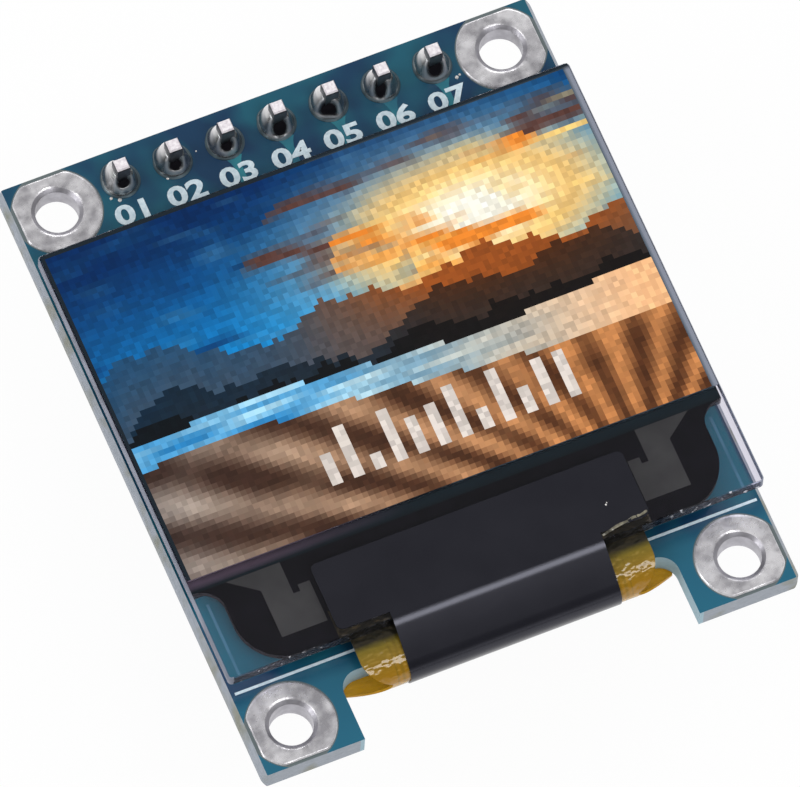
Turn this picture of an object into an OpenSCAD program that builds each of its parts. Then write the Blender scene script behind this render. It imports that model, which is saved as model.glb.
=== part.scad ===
// Small colour OLED display module: a glass panel taped to a circuit board,
// its flex cable folded through a slot in the board and soldered to the back,
// and a seven-pin header. Millimetres. The origin is the centre of the four
// mounting holes on the back face of the board, +Y towards the header and
// +Z out of the display.

/* [Board] */
// Width of the board beyond each side of the glass
board_margin = 0.05; // [0.05:0.05:0.5]
// Height of the board below the glass
board_foot = 4.25; // [3.9:0.05:6]
// Thickness of the laminate
board_t = 1.2; // [1:0.1:1.6]
// Radius of the outer corners
board_corner_r = 0.3; // [0.2:0.1:0.9]
// Width of the scored bevel on each long edge
score_w = 0.2; // [0.1:0.05:0.3]
// Depth of the scored bevel from each face
score_depth = 0.35; // [0.2:0.05:0.45]

/* [Mounting holes] */
// Distance from the hole centres to the long edges
hole_edge_x = 2.15; // [2.1:0.05:2.3]
// Distance from the hole centres to the short edges
hole_edge_y = 1.9; // [1.7:0.05:2]
// Diameter of the plated holes
hole_d = 2; // [1.8:0.1:2.2]
// Diameter of each hole's sloping mouth at the face of its land
mouth_d = 2.5; // [2.3:0.1:2.6]
// Depth of the mouth below the board's face
mouth_depth = 0.1; // [0.06:0.02:0.2]
// Diameter of the tinned land round each hole
land_d = 4.1; // [3.8:0.1:4.2]
// Diameter of the land on the back of the board
back_land_d = 3.8; // [3.6:0.1:3.8]
// Height of the tinned land over the board
land_t = 0.06; // [0.04:0.01:0.1]
// Wall of the plating inside the hole
plating_t = 0.05; // [0.03:0.01:0.1]
// Distance kept between a land and the board's edge
land_inset = 0.15; // [0.05:0.05:0.2]

/* [Slot] */
// Width of the slot that the flex cable folds through
slot_w = 16.2; // [16:0.1:16.6]
// Distance from the glass to the slot's inner edge
slot_lead = 1; // [0.8:0.05:1.1]
// Radius of the slot's inner corners
slot_corner_r = 0.9; // [0.5:0.1:1]

/* [Header] */
// Distance between neighbouring pins
pin_pitch = 2.54; // [2.5:0.02:2.6]
// Side of the square pins
pin_w = 0.64; // [0.5:0.02:0.7]
// Length of the pins in front of the board
pin_proud = 1.8; // [1.5:0.1:2.2]
// Length of the pins behind the plastic strip
pin_tail = 6; // [4:0.5:9]
// Length of the taper at each end of a pin
pin_taper = 0.3; // [0.2:0.05:0.5]
// Thickness of the plastic strip
strip_t = 2.5; // [2:0.1:2.6]
// Width of the plastic strip
strip_w = 2.5; // [2.2:0.1:2.5]
// Chamfer of the plastic strip between its pins
strip_chamfer = 0.35; // [0.2:0.05:0.5]
// Distance kept between the plastic strip and the back lands
strip_gap = 0.05; // [0.05:0.01:0.3]
// Distance from the pin row to the board's top edge
header_edge = 1.55; // [1.4:0.05:1.7]

/* [Solder joints] */
// Clearance between a pin's corners and its drilled hole
pin_clear = 0.05; // [0.03:0.01:0.1]
// Width of the pad round each drilled hole
ring_w = 0.4; // [0.3:0.05:0.5]
// Height of the solder cone
cone_h = 1.15; // [0.9:0.05:1.3]
// Height of the tinned pad
pad_t = 0.04; // [0.02:0.01:0.08]

/* [Panel] */
// Width of the panel glass
panel_w = 25.9; // [25.5:0.1:26]
// Height of the panel glass
panel_h = 22.3; // [22.1:0.1:22.4]
// Distance from the board's top edge to the glass
panel_edge = 4.35; // [4.25:0.05:4.5]
// Sideways offset of the panel as it is stuck down
panel_shift = 0.06; // [0:0.02:0.2]
// Thickness of the front glass
front_glass_t = 0.7; // [0.5:0.05:1]
// Thickness of the rear glass
rear_glass_t = 0.6; // [0.55:0.05:0.8]
// Radius of the front glass's corners
glass_corner_r = 0.2; // [0.1:0.05:0.4]
// Distance from the rear glass's edges to the front glass's edges
rear_inset = 0.12; // [0.05:0.01:0.2]
// Height of the contact ledge below the rear glass
ledge_h = 4.6; // [4.5:0.1:4.8]
// Depth of the sealed cavity in the rear glass
cavity_depth = 0.3; // [0.2:0.05:0.35]
// Width of the seal round the cavity
seal_w = 1.2; // [1:0.1:1.6]
// Thickness of the seal between the two glasses
seal_t = 0.02; // [0.01:0.01:0.05]
// Thickness of the polariser
polariser_t = 0.12; // [0.08:0.02:0.2]
// Overlap between the polariser's lower edge and the rear glass
polariser_lap = 0.45; // [0.2:0.05:0.6]
// Distance from the polariser to the glass's sides
polariser_margin = 0.1; // [0.05:0.05:0.4]
// Distance from the polariser to the glass's top edge
polariser_top = 0.1; // [0.05:0.05:0.3]
// Thickness of the double-sided tape under the panel
foam_t = 0.35; // [0.2:0.05:0.5]
// Distance from the double-sided tape to the rear glass's edges
foam_inset = 1; // [0.6:0.1:1.6]
// Thickness of the light-emitting layers
layer_t = 0.05; // [0.03:0.01:0.08]
// Thickness of the drying sheet
dryer_t = 0.12; // [0.08:0.02:0.14]
// Distance from the drying sheet to the cavity's sides
dryer_inset = 1.5; // [1:0.1:2]

/* [Ledge] */
// Length of the driver chip
chip_l = 12.4; // [11:0.1:13]
// Width of the driver chip
chip_w = 0.9; // [0.7:0.1:1]
// Thickness of the driver chip
chip_t = 0.3; // [0.2:0.05:0.3]
// Distance from the driver chip to the rear glass
chip_gap = 0.8; // [0.6:0.1:1]
// Thickness of the black potting over the ledge
potting_t = 0.34; // [0.32:0.02:0.4]
// Distance from the potting to the glass's sides
potting_margin = 1.3; // [1.1:0.1:1.5]
// Radius of the potting's lower corners
potting_r = 2.4; // [2:0.1:2.6]
// Radius of the potting's flare at the rear glass
potting_flare = 1.1; // [0.9:0.1:1.1]
// Distance from the potting to the glass's bottom edge
potting_bottom = 0.15; // [0.1:0.05:0.3]
// Thickness of the contact metal on the glass
contact_t = 0.03; // [0.02:0.01:0.04]
// Width of each contact
contact_w = 2.2; // [2:0.1:2.4]
// Height of each contact's square part
contact_h = 2.1; // [1.8:0.1:2.3]
// Width of each contact's leg
contact_leg = 1.3; // [1:0.1:1.5]
// Distance from each contact to the shade tape
contact_gap = 0.15; // [0.1:0.05:0.3]
// Distance from each contact to the glass's bottom edge
contact_bottom = 1.2; // [1.1:0.1:1.3]

/* [Flex cable] */
// Thickness of the flex cable
flex_t = 0.1; // [0.08:0.01:0.14]
// Width of the end that is bonded to the glass
bond_w = 15.1; // [14.8:0.1:15.3]
// Length of the end that is bonded to the glass
bond_l = 1.6; // [1.4:0.1:1.8]
// Width of the neck
neck_w = 14.2; // [13.6:0.1:14.6]
// Width of the waist at the fold
waist_w = 11.9; // [11.4:0.1:12.4]
// Straight length from the glass to the fold
fold_lead = 0.4; // [0.1:0.05:0.5]
// Reach of the fold beyond its straight part
fold_reach = 1.8; // [1.6:0.05:1.9]
// Distance from the slot's inner edge to the end of the fold
fold_clear = 0.5; // [0.45:0.05:0.6]
// Distance from the wide tail to the slot's sides
slot_clear = 0.15; // [0.1:0.05:0.3]
// Solder film between the tail and the board
tail_gap = 0.02; // [0.01:0.01:0.05]
// Length of the tail on the back of the board
tail_l = 4.4; // [4:0.1:6]
// Distance from the outer solder joints to the tail's sides
joint_margin = 0.7; // [0.4:0.1:1.4]
// Distance between the tail's solder joints
joint_pitch = 0.7; // [0.65:0.01:0.72]
// Width of each solder joint
joint_w = 0.42; // [0.3:0.02:0.5]
// Length of each solder joint
joint_l = 1.3; // [1:0.1:1.6]
// Height of each solder joint over the tail
joint_rise = 0.16; // [0.1:0.02:0.24]

/* [Shade tape] */
// Thickness of the black tape
shade_t = 0.06; // [0.04:0.01:0.08]
// Glue between the tape and the fold
shade_glue = 0.01; // [0.01:0.01:0.03]
// Distance from the tape's wide part to the rear glass's lower edge
shade_top = 0.85; // [0.5:0.05:1]
// Distance from the tape's wide part to the glass's bottom edge
shade_bottom = 0.35; // [0.25:0.05:0.5]
// Width of the part that runs over the fold
shade_strip_w = 10.2; // [9.6:0.1:10.6]
// Radius of the wide part's corners
shade_r = 0.3; // [0.1:0.05:0.4]

/* [Parts on the back] */
// Distance between the columns of parts
column = 2.6; // [2.5:0.1:2.8]
// Distance between the rows of parts
row = 3.9; // [3.6:0.1:4.1]
// Length of the small resistors and capacitors
small_l = 1.6; // [1.5:0.05:1.7]
// Width of the small resistors and capacitors
small_w = 0.8; // [0.7:0.05:0.9]
// Height of the small resistors
resistor_t = 0.45; // [0.35:0.05:0.55]
// Height of the small capacitors
capacitor_t = 0.8; // [0.6:0.05:0.9]
// Length of the metal ends of a resistor or capacitor
end_l = 0.3; // [0.2:0.05:0.4]
// Thickness of the metal ends
end_t = 0.03; // [0.02:0.01:0.05]
// Side of the inductor
inductor_w = 3; // [2.8:0.1:3.2]
// Height of the inductor
inductor_t = 1.5; // [1.2:0.1:2]
// Length of a moulded chip package
package_l = 2.9; // [2.8:0.05:3]
// Width of a moulded chip package
package_w = 1.6; // [1.5:0.05:1.7]
// Height of a moulded chip package
package_t = 1.1; // [1:0.05:1.2]
// Distance between the leads of a chip package
lead_spacing = 0.95; // [0.9:0.01:0.98]
// Width of the leads
lead_w = 0.4; // [0.3:0.05:0.5]
// Thickness of the leads
lead_t = 0.15; // [0.1:0.01:0.18]
// Length of the leads outside the package
lead_l = 0.6; // [0.5:0.05:0.7]
// Draft of the moulded sides
mould_draft = 0.08; // [0.04:0.01:0.12]
// Height at which a moulded body stands off the board
mould_stand = 0.08; // [0.04:0.01:0.12]

/* [Hidden] */
// Column, row and turn of each part, counted from the middle of the free area
capacitor_places = [[-3.8, 0, 90], [-1.5, 1.5, 0], [0.5, 1.5, 0], [3.9, 1.5, 90], [3.9, -1, 90], [-1.5, -1, 0]];
resistor_places = [[-3, 0, 90], [-2.2, 0, 90], [-1.4, 0, 90], [2, 1.5, 0], [0.5, -1, 0], [2, -1, 0]];
regulator_place = [-3.4, 1.4];
converter_place = [0, 0.3];
inductor_place = [2, 0.3];
diode_place = [3.8, 0.3];

board_w = panel_w + 2 * board_margin;        // across the scored long edges
board_h = panel_edge + panel_h + board_foot;
hole_spacing_x = board_w - 2 * hole_edge_x;
hole_spacing_y = board_h - 2 * hole_edge_y;
pin_count = floor((hole_spacing_x - back_land_d - 2 * strip_gap) / pin_pitch);

face_w = board_w - 2 * score_w;            // width of the flat faces between the bevels
header_y = board_h / 2 - header_edge;
drill_d = pin_w * sqrt(2) + 2 * pin_clear;
pad_d = drill_d + 2 * ring_w;
panel_top = board_h / 2 - panel_edge;
panel_bottom = panel_top - panel_h;
slot_y = panel_bottom - slot_lead;         // inner edge of the slot
slot_depth = slot_y + board_h / 2;
rear_bottom = panel_bottom + ledge_h;      // bottom edge of the rear glass
rear_top = panel_top - rear_inset;
rear_w = panel_w - 2 * rear_inset;
foam_z = board_t;
rear_z = foam_z + foam_t;
seal_z = rear_z + rear_glass_t;
glass_z = seal_z + seal_t;                 // back of the front glass
ledge_z = glass_z + front_glass_t;         // front of the front glass
face_z = ledge_z + polariser_t;
cavity_z = seal_z - cavity_depth;

flex_z = glass_z - flex_t / 2;             // middle of the flex cable on the glass
tail_z = -tail_gap - flex_t / 2;           // middle of the flex cable on the board
fold_start = panel_bottom - fold_lead;
fold_tip = fold_start - fold_reach;
fold_end = slot_y - fold_clear;
fold_mid = (flex_z + tail_z) / 2;
fold_rise = (flex_z - tail_z) / 2;
tail_w = slot_w - 2 * slot_clear;
tail_end = slot_y + tail_l;
joint_count = floor((tail_w - 2 * joint_margin) / joint_pitch);
back_mid = (tail_end + header_y - strip_w / 2) / 2;
fold_steps = 14;
waist_r = (neck_w - waist_w) / 2;

contact_inner = bond_w / 2 + contact_gap;
contact_low = panel_bottom + contact_bottom;
slack = 0.5;                               // overshoot of a cut past what it cuts
fine = 48;

// A block with its low corner at p and its size s.
module block(p, s) {
    translate(p) cube(s);
}

// A block centred on x = 0 between two heights and two depths.
module bar(w, y0, y1, z0, z1) {
    block([-w / 2, y0, z0], [w, y1 - y0, z1 - z0]);
}

// A profile in the YZ plane pulled out to width w, centred on x = 0.
module pulled(w) {
    rotate([90, 0, 90]) linear_extrude(w, center = true) children();
}

module round_square(w, h, r) {
    square([w - 2 * r, h], center = true);
    square([w, h - 2 * r], center = true);
    for (x = [-1, 1], y = [-1, 1])
        translate([x * (w / 2 - r), y * (h / 2 - r)]) circle(r, $fn = fine);
}

module at_holes() {
    for (x = [-1, 1], y = [-1, 1])
        translate([x * hole_spacing_x / 2, y * hole_spacing_y / 2]) children();
}

// A through bore that opens to a sloping mouth at both faces of the lands,
// grown outwards by the plating where it is cut into the laminate.
module bore(grow) {
    rise = land_t + mouth_depth;
    translate([0, 0, -slack]) cylinder(board_t + 2 * slack, d = hole_d + 2 * grow, $fn = fine);
    for (side = [0, 1]) translate([0, 0, side * board_t]) mirror([0, 0, 1 - side])
        translate([0, 0, -mouth_depth])
            cylinder(rise, d1 = hole_d + 2 * grow, d2 = mouth_d + 2 * grow, $fn = fine);
}

function pin_x(i) = (i - (pin_count + 1) / 2) * pin_pitch;

// ---- board ----

module slot_shape() {
    translate([-slot_w / 2, -board_h / 2 - slack]) square([slot_w, slack + slot_depth - slot_corner_r]);
    translate([slot_corner_r - slot_w / 2, -board_h / 2])
        square([slot_w - 2 * slot_corner_r, slot_depth]);
    for (x = [-1, 1])
        translate([x * (slot_w / 2 - slot_corner_r), slot_y - slot_corner_r])
            circle(slot_corner_r, $fn = fine);
}

module score_groove() {
    rotate([90, 0, 0]) linear_extrude(board_h + 2 * slack, center = true)
        polygon([[-score_w, 0], [0, -score_depth], [slack, -score_depth], [slack, slack], [-score_w, slack]]);
}

module board() {
    color("#1d4a6e") difference() {
        linear_extrude(board_t) difference() {
            round_square(board_w, board_h, board_corner_r);
            slot_shape();
            for (i = [1:pin_count])
                translate([pin_x(i), header_y]) circle(d = drill_d, $fn = fine);
        }
        at_holes() bore(plating_t);
        for (side = [0, 1]) mirror([side, 0, 0]) {
            translate([board_w / 2, 0, board_t]) score_groove();
            translate([board_w / 2, 0, 0]) mirror([0, 0, 1]) score_groove();
        }
    }
}

module land() {
    difference() {
        union() {
            translate([0, 0, board_t]) cylinder(land_t, d = land_d, $fn = fine);
            translate([0, 0, -land_t]) cylinder(land_t, d = back_land_d, $fn = fine);
            intersection() {
                bore(plating_t);
                translate([0, 0, -land_t]) cylinder(board_t + 2 * land_t, d = land_d, $fn = fine);
            }
        }
        bore(0);
    }
}

module mounting_lands() {
    color("#bebcc0") intersection() {
        at_holes() land();
        bar(face_w - 2 * land_inset, land_inset - board_h / 2, board_h / 2 - land_inset, -slack, board_t + slack);
    }
}

// ---- header ----

// A strip with a notch between neighbouring pins, bored square for each pin.
module header_strip() {
    color("#1c1c1f") difference() {
        translate([0, header_y, -strip_t]) linear_extrude(strip_t) difference() {
            square([pin_count * pin_pitch, strip_w], center = true);
            for (i = [0:pin_count], y = [-1, 1])
                translate([pin_x(i + 0.5), y * strip_w / 2]) rotate(45)
                    square(strip_chamfer * sqrt(2), center = true);
        }
        for (i = [1:pin_count])
            translate([pin_x(i), header_y, -strip_t / 2])
                cube([pin_w, pin_w, strip_t + slack], center = true);
    }
}

// Outline of a pin from the side, with a tapered point at both ends.
module pin_profile() {
    low = -strip_t - pin_tail;
    high = board_t + pin_proud;
    tip = pin_w / 4;
    polygon([[-pin_w / 2, low + pin_taper], [-tip, low], [tip, low], [pin_w / 2, low + pin_taper],
             [pin_w / 2, high - pin_taper / 2], [tip * 1.5, high], [-tip * 1.5, high],
             [-pin_w / 2, high - pin_taper / 2]]);
}

module header_pin(i) {
    color("#c4c0bb") translate([pin_x(i), header_y, 0]) intersection() {
        pulled(pin_w) pin_profile();
        rotate([0, 0, 90]) pulled(pin_w) pin_profile();
    }
}

// Hollow-sided cone of solder: its radius falls from the pad to the pin.
module solder_joint(i) {
    steps = 9;
    top_r = pin_w * 0.74;
    foot = board_t + pad_t;
    color("#a9a8ad") translate([pin_x(i), header_y, 0]) difference() {
        rotate_extrude($fn = fine) polygon(concat(
            [[0, 0], [drill_d / 2, 0], [drill_d / 2, board_t], [pad_d / 2, board_t]],
            [for (k = [0:steps]) let (t = k / steps)
                [top_r + (pad_d / 2 - top_r) * pow(1 - t, 1.9), foot + cone_h * t]],
            [[0, foot + cone_h]]));
        translate([0, 0, board_t / 2]) cube([pin_w, pin_w, board_t + 2 * cone_h + 2], center = true);
    }
}

// ---- panel ----

// A block over the rear glass's area, inset on all four sides.
module rear_bar(inset, z0, z1) {
    bar(rear_w - 2 * inset, rear_bottom + inset, rear_top - inset, z0, z1);
}

module double_sided_tape() {
    color("#e8e6e0") rear_bar(foam_inset, foam_z, rear_z);
}

module rear_glass() {
    color("#9db4ae") difference() {
        rear_bar(0, rear_z, seal_z);
        rear_bar(seal_w, cavity_z, seal_z + slack);
    }
}

module drying_sheet() {
    color("#f2f0ea") rear_bar(seal_w + dryer_inset, cavity_z, cavity_z + dryer_t);
}

module glass_seal() {
    color("#6d6a55") difference() {
        rear_bar(0, seal_z, glass_z);
        rear_bar(seal_w, seal_z - slack, glass_z + slack);
    }
}

module light_layers() {
    color("#c98a3c") rear_bar(seal_w, glass_z - layer_t, glass_z);
}

module front_glass() {
    color("#a9c4bd") translate([0, (panel_bottom + panel_top) / 2, glass_z])
        linear_extrude(front_glass_t) round_square(panel_w, panel_h, glass_corner_r);
}

module polariser() {
    color("#2c5f8c")
        bar(panel_w - 2 * polariser_margin, rear_bottom + polariser_lap, panel_top - polariser_top, ledge_z, face_z);
}

// ---- ledge ----

// One side contact: a square patch with a notch and a leg that widens upwards.
module contact_shape() {
    leg_out = contact_inner + contact_w;
    leg_in = leg_out - contact_leg;
    notch = contact_leg / 4;
    neck_y = contact_low + contact_h;
    polygon([[contact_inner, contact_low], [leg_out, contact_low], [leg_out, neck_y + notch],
             [leg_out + contact_leg, rear_bottom], [leg_in, rear_bottom], [leg_in, neck_y - notch],
             [leg_in - notch, neck_y - notch], [leg_in - notch, neck_y], [contact_inner, neck_y]]);
}

module contact_right() {
    color("#50524e") translate([0, 0, glass_z - contact_t]) linear_extrude(contact_t) contact_shape();
}

module contact_left() {
    color("#50524e") mirror([1, 0, 0]) contact_right();
}

module chip_block() {
    bar(chip_l, rear_bottom - chip_gap - chip_w, rear_bottom - chip_gap, glass_z - chip_t, glass_z);
}

module driver_chip() {
    color("#3c3d42") chip_block();
}

// Plan of the potting: full width under the rear glass, round lower corners.
module potting_shape() {
    half = panel_w / 2 - potting_margin;
    low = panel_bottom + potting_bottom;
    difference() {
        intersection() {
            union() {
                translate([-half, low + potting_r]) square([2 * half, ledge_h]);
                translate([potting_r - half, low]) square([2 * (half - potting_r), ledge_h]);
                for (x = [-1, 1]) translate([x * (half - potting_r), low + potting_r])
                    circle(potting_r, $fn = fine);
                translate([-half - potting_flare, rear_bottom - potting_flare])
                    square([2 * (half + potting_flare), potting_flare]);
            }
            translate([-panel_w / 2, panel_bottom]) square([panel_w, ledge_h]);
        }
        for (x = [-1, 1]) translate([x * (half + potting_flare), rear_bottom - potting_flare])
            circle(potting_flare, $fn = fine);
    }
}

// Black resin that covers the back of the ledge, with the chip, the contacts
// and the end of the flex cable sunk in it.
module potting() {
    color("#24232a") difference() {
        translate([0, 0, glass_z - potting_t]) linear_extrude(potting_t) potting_shape();
        chip_block();
        for (side = [0, 1]) mirror([side, 0, 0])
            translate([0, 0, glass_z - contact_t]) linear_extrude(contact_t + slack) contact_shape();
        bar(bond_w, panel_bottom, panel_bottom + bond_l, glass_z - potting_t - slack, glass_z + slack);
    }
}

// ---- flex cable ----

// A quarter of an ellipse about a centre in the YZ plane, from one angle to another.
function quarter(cy, cz, ry, rz, from, to) =
    [for (k = [0:fold_steps]) let (a = from + (to - from) * k / fold_steps)
        [cy + ry * cos(a), cz + rz * sin(a)]];

// A path moved sideways by d, square to its own direction.
function beside(path, d) =
    [for (k = [0:len(path) - 1])
        let (a = path[max(k - 1, 0)], b = path[min(k + 1, len(path) - 1)], v = b - a)
        path[k] + d * [-v[1], v[0]] / norm(v)];

// A closed strip of thickness t along a path.
function strip(path, t) =
    concat(beside(path, t / 2), [for (k = [len(path) - 1:-1:0]) beside(path, -t / 2)[k]]);

upper_fold = quarter(fold_start, fold_mid, -fold_reach, fold_rise, 90, 0);
lower_fold = quarter(fold_end, fold_mid, fold_tip - fold_end, fold_rise, 0, -90);

// Plan of the front layer: bonded end, neck, and round shoulders at the waist.
module neck_shape() {
    translate([-bond_w / 2, panel_bottom + slack]) square([bond_w, bond_l - slack]);
    translate([-neck_w / 2, fold_tip + waist_r]) square([neck_w, panel_bottom + 2 * slack - fold_tip - waist_r]);
    translate([-waist_w / 2, fold_tip - slack]) square([waist_w, waist_r + slack]);
    for (x = [-1, 1]) translate([x * waist_w / 2, fold_tip + waist_r]) circle(waist_r, $fn = fine);
}

// Plan of the rear layer: the waist widens to the tail in two wings.
module tail_shape() {
    wing_y = fold_tip + waist_r * 0.55;
    polygon([[-waist_w / 2, fold_tip - slack], [waist_w / 2, fold_tip - slack], [waist_w / 2, fold_tip],
             [tail_w / 2, wing_y], [tail_w / 2, tail_end], [-tail_w / 2, tail_end],
             [-tail_w / 2, wing_y], [-waist_w / 2, fold_tip]]);
}

module flex_layer(path, w) {
    intersection() {
        pulled(w) polygon(strip(path, flex_t));
        translate([0, 0, -glass_z]) linear_extrude(3 * glass_z) children();
    }
}

module flex_cable() {
    front = concat([[panel_bottom + bond_l, flex_z]], upper_fold);
    back = concat(lower_fold, [[tail_end, tail_z]]);
    color("#a8721a") {
        flex_layer(front, bond_w) neck_shape();
        flex_layer(back, tail_w) tail_shape();
    }
}

// A row of solder joints where the tail's end meets the board.
module flex_solder() {
    film = -tail_gap - flex_t;
    on_board = joint_l * 0.46;
    on_tail = on_board - joint_l;
    color("#b7b6ba") for (i = [1:joint_count])
        translate([(i - (joint_count + 1) / 2) * joint_pitch, tail_end, 0]) pulled(joint_w)
            polygon([[0, 0], [on_board, 0], [on_board * 0.4, film - joint_rise * 0.6], [0, film - joint_rise],
                     [on_tail * 0.7, film - joint_rise * 0.7], [on_tail, film], [0, film]]);
}

// ---- shade tape ----

// Outer side of the fold that the tape lies on, from the front round to the back.
fold_outside = beside(concat(upper_fold, lower_fold), -(flex_t + shade_t) / 2 - shade_glue);
shoulder = [panel_bottom - shade_t, ledge_z + shade_t / 2];
function fall(p) = atan2(shoulder[1] - p[1], shoulder[0] - p[0]);
touch = min([for (p = fold_outside) fall(p)]);
landing = [for (k = [0:len(fold_outside) - 1]) if (fall(fold_outside[k]) <= touch) k][0];

module shade_plan() {
    shade_h = ledge_h - shade_bottom - shade_top;
    translate([0, panel_bottom + shade_bottom + shade_h / 2]) round_square(bond_w, shade_h, shade_r);
    translate([-shade_strip_w / 2, panel_bottom]) square([shade_strip_w, shade_bottom + shade_h / 2]);
}

module shade_tape() {
    path = concat([[panel_bottom, shoulder[1]], shoulder],
                  [for (k = [landing:2 * fold_steps]) fold_outside[k]]);
    color("#26262e") {
        translate([0, 0, ledge_z]) linear_extrude(shade_t) shade_plan();
        pulled(shade_strip_w) polygon(strip(path, shade_t));
    }
}

// ---- parts on the back ----

// Puts a part at its column and row on the back.
module on_back(place) {
    translate([place[0] * column, back_mid + place[1] * row, 0]) children();
}

// A two-ended chip part that hangs under the board.
module end_part(l, w, t) {
    translate([end_t - l / 2, end_t - w / 2, end_t - t]) cube([l - 2 * end_t, w - 2 * end_t, t - end_t]);
    for (x = [-1, 1]) translate([x * (l - end_l) / 2, 0, -t / 2]) cube([end_l, w, t], center = true);
}

module capacitor(i) {
    place = capacitor_places[i - 1];
    color("#b79b72") on_back(place) rotate(place[2]) end_part(small_l, small_w, capacitor_t);
}

module resistor(i) {
    place = resistor_places[i - 1];
    color("#2a2a2d") on_back(place) rotate(place[2]) end_part(small_l, small_w, resistor_t);
}

// A gull-wing lead: flat foot on the board, riser, and a root inside the body.
module lead() {
    mid = package_t / 2;
    side = package_w / 2;
    root = side - mould_draft - lead_t;
    pulled(lead_w) polygon([[root, -mid - lead_t / 2], [side + lead_l / 2, -mid - lead_t / 2],
                            [side + lead_l * 0.7, -lead_t], [side + lead_l, -lead_t],
                            [side + lead_l, 0], [side + lead_l * 0.4, 0],
                            [side + lead_l * 0.25, lead_t / 2 - mid], [root, lead_t / 2 - mid]]);
}

// Side view of a moulded body: widest at its parting line.
module drafted(w, t) {
    face = w / 2 - mould_draft;
    polygon([[-face, -mould_stand], [face, -mould_stand], [w / 2, -t / 2], [face, -t], [-face, -t], [-w / 2, -t / 2]]);
}

// A moulded body with drafted sides, standing a little off the board.
module moulded(l, w, t) {
    intersection() {
        pulled(l) drafted(w, t);
        rotate([0, 0, 90]) pulled(w) drafted(l, t);
    }
}

module package(near, far) {
    moulded(package_l, package_w, package_t);
    for (x = far) translate([x * lead_spacing, 0, 0]) lead();
    for (x = near) translate([x * lead_spacing, 0, 0]) mirror([0, 1, 0]) lead();
}

module regulator() {
    color("#242427") on_back(regulator_place) package([-1, 1], [0]);
}

module boost_converter() {
    color("#242427") on_back(converter_place) package([-1, 0, 1], [-1, 0, 1]);
}

module inductor() {
    flange = inductor_t / 4;
    color("#3a3937") on_back(inductor_place) {
        translate([0, 0, -flange]) linear_extrude(flange) round_square(inductor_w, inductor_w, inductor_w / 6);
        translate([0, 0, flange / 2 - inductor_t])
            cylinder(inductor_t - flange, r = inductor_w * 0.42, $fn = fine);
        translate([0, 0, -inductor_t]) cylinder(flange, r = inductor_w / 2, $fn = fine);
    }
}

module diode() {
    color("#242427") on_back(diode_place) {
        moulded(package_w, package_w * 0.8, package_t * 0.85);
        for (x = [-1, 1]) translate([x * (package_w / 2 + lead_l / 4), 0, -package_t * 0.2])
            cube([lead_l / 2 + 2 * lead_t, lead_w, package_t * 0.4], center = true);
    }
}

module on_panel() {
    translate([panel_shift, 0, 0]) children();
}

board();
mounting_lands();
header_strip();
on_panel() double_sided_tape();
on_panel() rear_glass();
on_panel() drying_sheet();
on_panel() glass_seal();
on_panel() light_layers();
on_panel() front_glass();
on_panel() polariser();
on_panel() contact_left();
on_panel() contact_right();
on_panel() driver_chip();
on_panel() potting();
on_panel() flex_cable();
on_panel() shade_tape();
on_panel() flex_solder();
regulator();
boost_converter();
inductor();
diode();
for (i = [1:pin_count]) {
    header_pin(i);
    solder_joint(i);
}
for (i = [1:len(capacitor_places)])
    capacitor(i);
for (i = [1:len(resistor_places)])
    resistor(i);
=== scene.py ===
import math
import random
from functools import partial

import bpy
from mathutils import Matrix, Vector, noise


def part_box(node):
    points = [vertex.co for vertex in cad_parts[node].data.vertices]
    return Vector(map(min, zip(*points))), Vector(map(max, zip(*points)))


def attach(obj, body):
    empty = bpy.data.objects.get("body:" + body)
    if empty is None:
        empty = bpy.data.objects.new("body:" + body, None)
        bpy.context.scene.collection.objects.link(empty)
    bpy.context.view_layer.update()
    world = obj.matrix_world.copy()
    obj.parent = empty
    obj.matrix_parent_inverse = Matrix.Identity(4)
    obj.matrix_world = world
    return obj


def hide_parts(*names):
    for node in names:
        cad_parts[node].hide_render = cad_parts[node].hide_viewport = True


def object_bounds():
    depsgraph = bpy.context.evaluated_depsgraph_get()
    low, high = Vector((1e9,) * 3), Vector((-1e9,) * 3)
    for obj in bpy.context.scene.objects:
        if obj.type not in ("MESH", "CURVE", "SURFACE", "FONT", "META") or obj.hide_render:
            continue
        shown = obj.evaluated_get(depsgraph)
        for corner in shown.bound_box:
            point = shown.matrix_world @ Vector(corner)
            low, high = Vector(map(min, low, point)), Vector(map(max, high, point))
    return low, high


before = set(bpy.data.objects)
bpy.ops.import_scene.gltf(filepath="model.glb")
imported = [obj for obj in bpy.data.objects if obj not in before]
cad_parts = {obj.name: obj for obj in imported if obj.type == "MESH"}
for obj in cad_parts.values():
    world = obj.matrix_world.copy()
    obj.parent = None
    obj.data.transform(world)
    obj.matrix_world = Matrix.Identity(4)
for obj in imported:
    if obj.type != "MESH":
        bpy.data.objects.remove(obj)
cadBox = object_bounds()
mm = 0.001

boardLow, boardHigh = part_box("board")
glassLow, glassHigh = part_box("front_glass")
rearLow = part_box("rear_glass")[0]
filmLow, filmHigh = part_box("polariser")
flexLow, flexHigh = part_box("flex_cable")
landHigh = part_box("mounting_lands")[1]
boardTop = boardHigh.z
panelX = (glassLow.x + glassHigh.x) / 2
panelHalf = glassHigh.x - panelX
pinBoxes = [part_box(f"header_pin_{i}") for i in range(1, 8)]
pinPlaces = [(low + high) / 2 for low, high in pinBoxes]


# helpers for modelling

def leaveEdit():
    bpy.ops.object.mode_set(mode="OBJECT")


def deselectAll():
    if bpy.context.object and bpy.context.object.mode != "OBJECT":
        leaveEdit()
    bpy.ops.object.select_all(action="DESELECT")


def makeActive(piece):
    deselectAll()
    piece.select_set(True)
    bpy.context.view_layer.objects.active = piece


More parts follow.
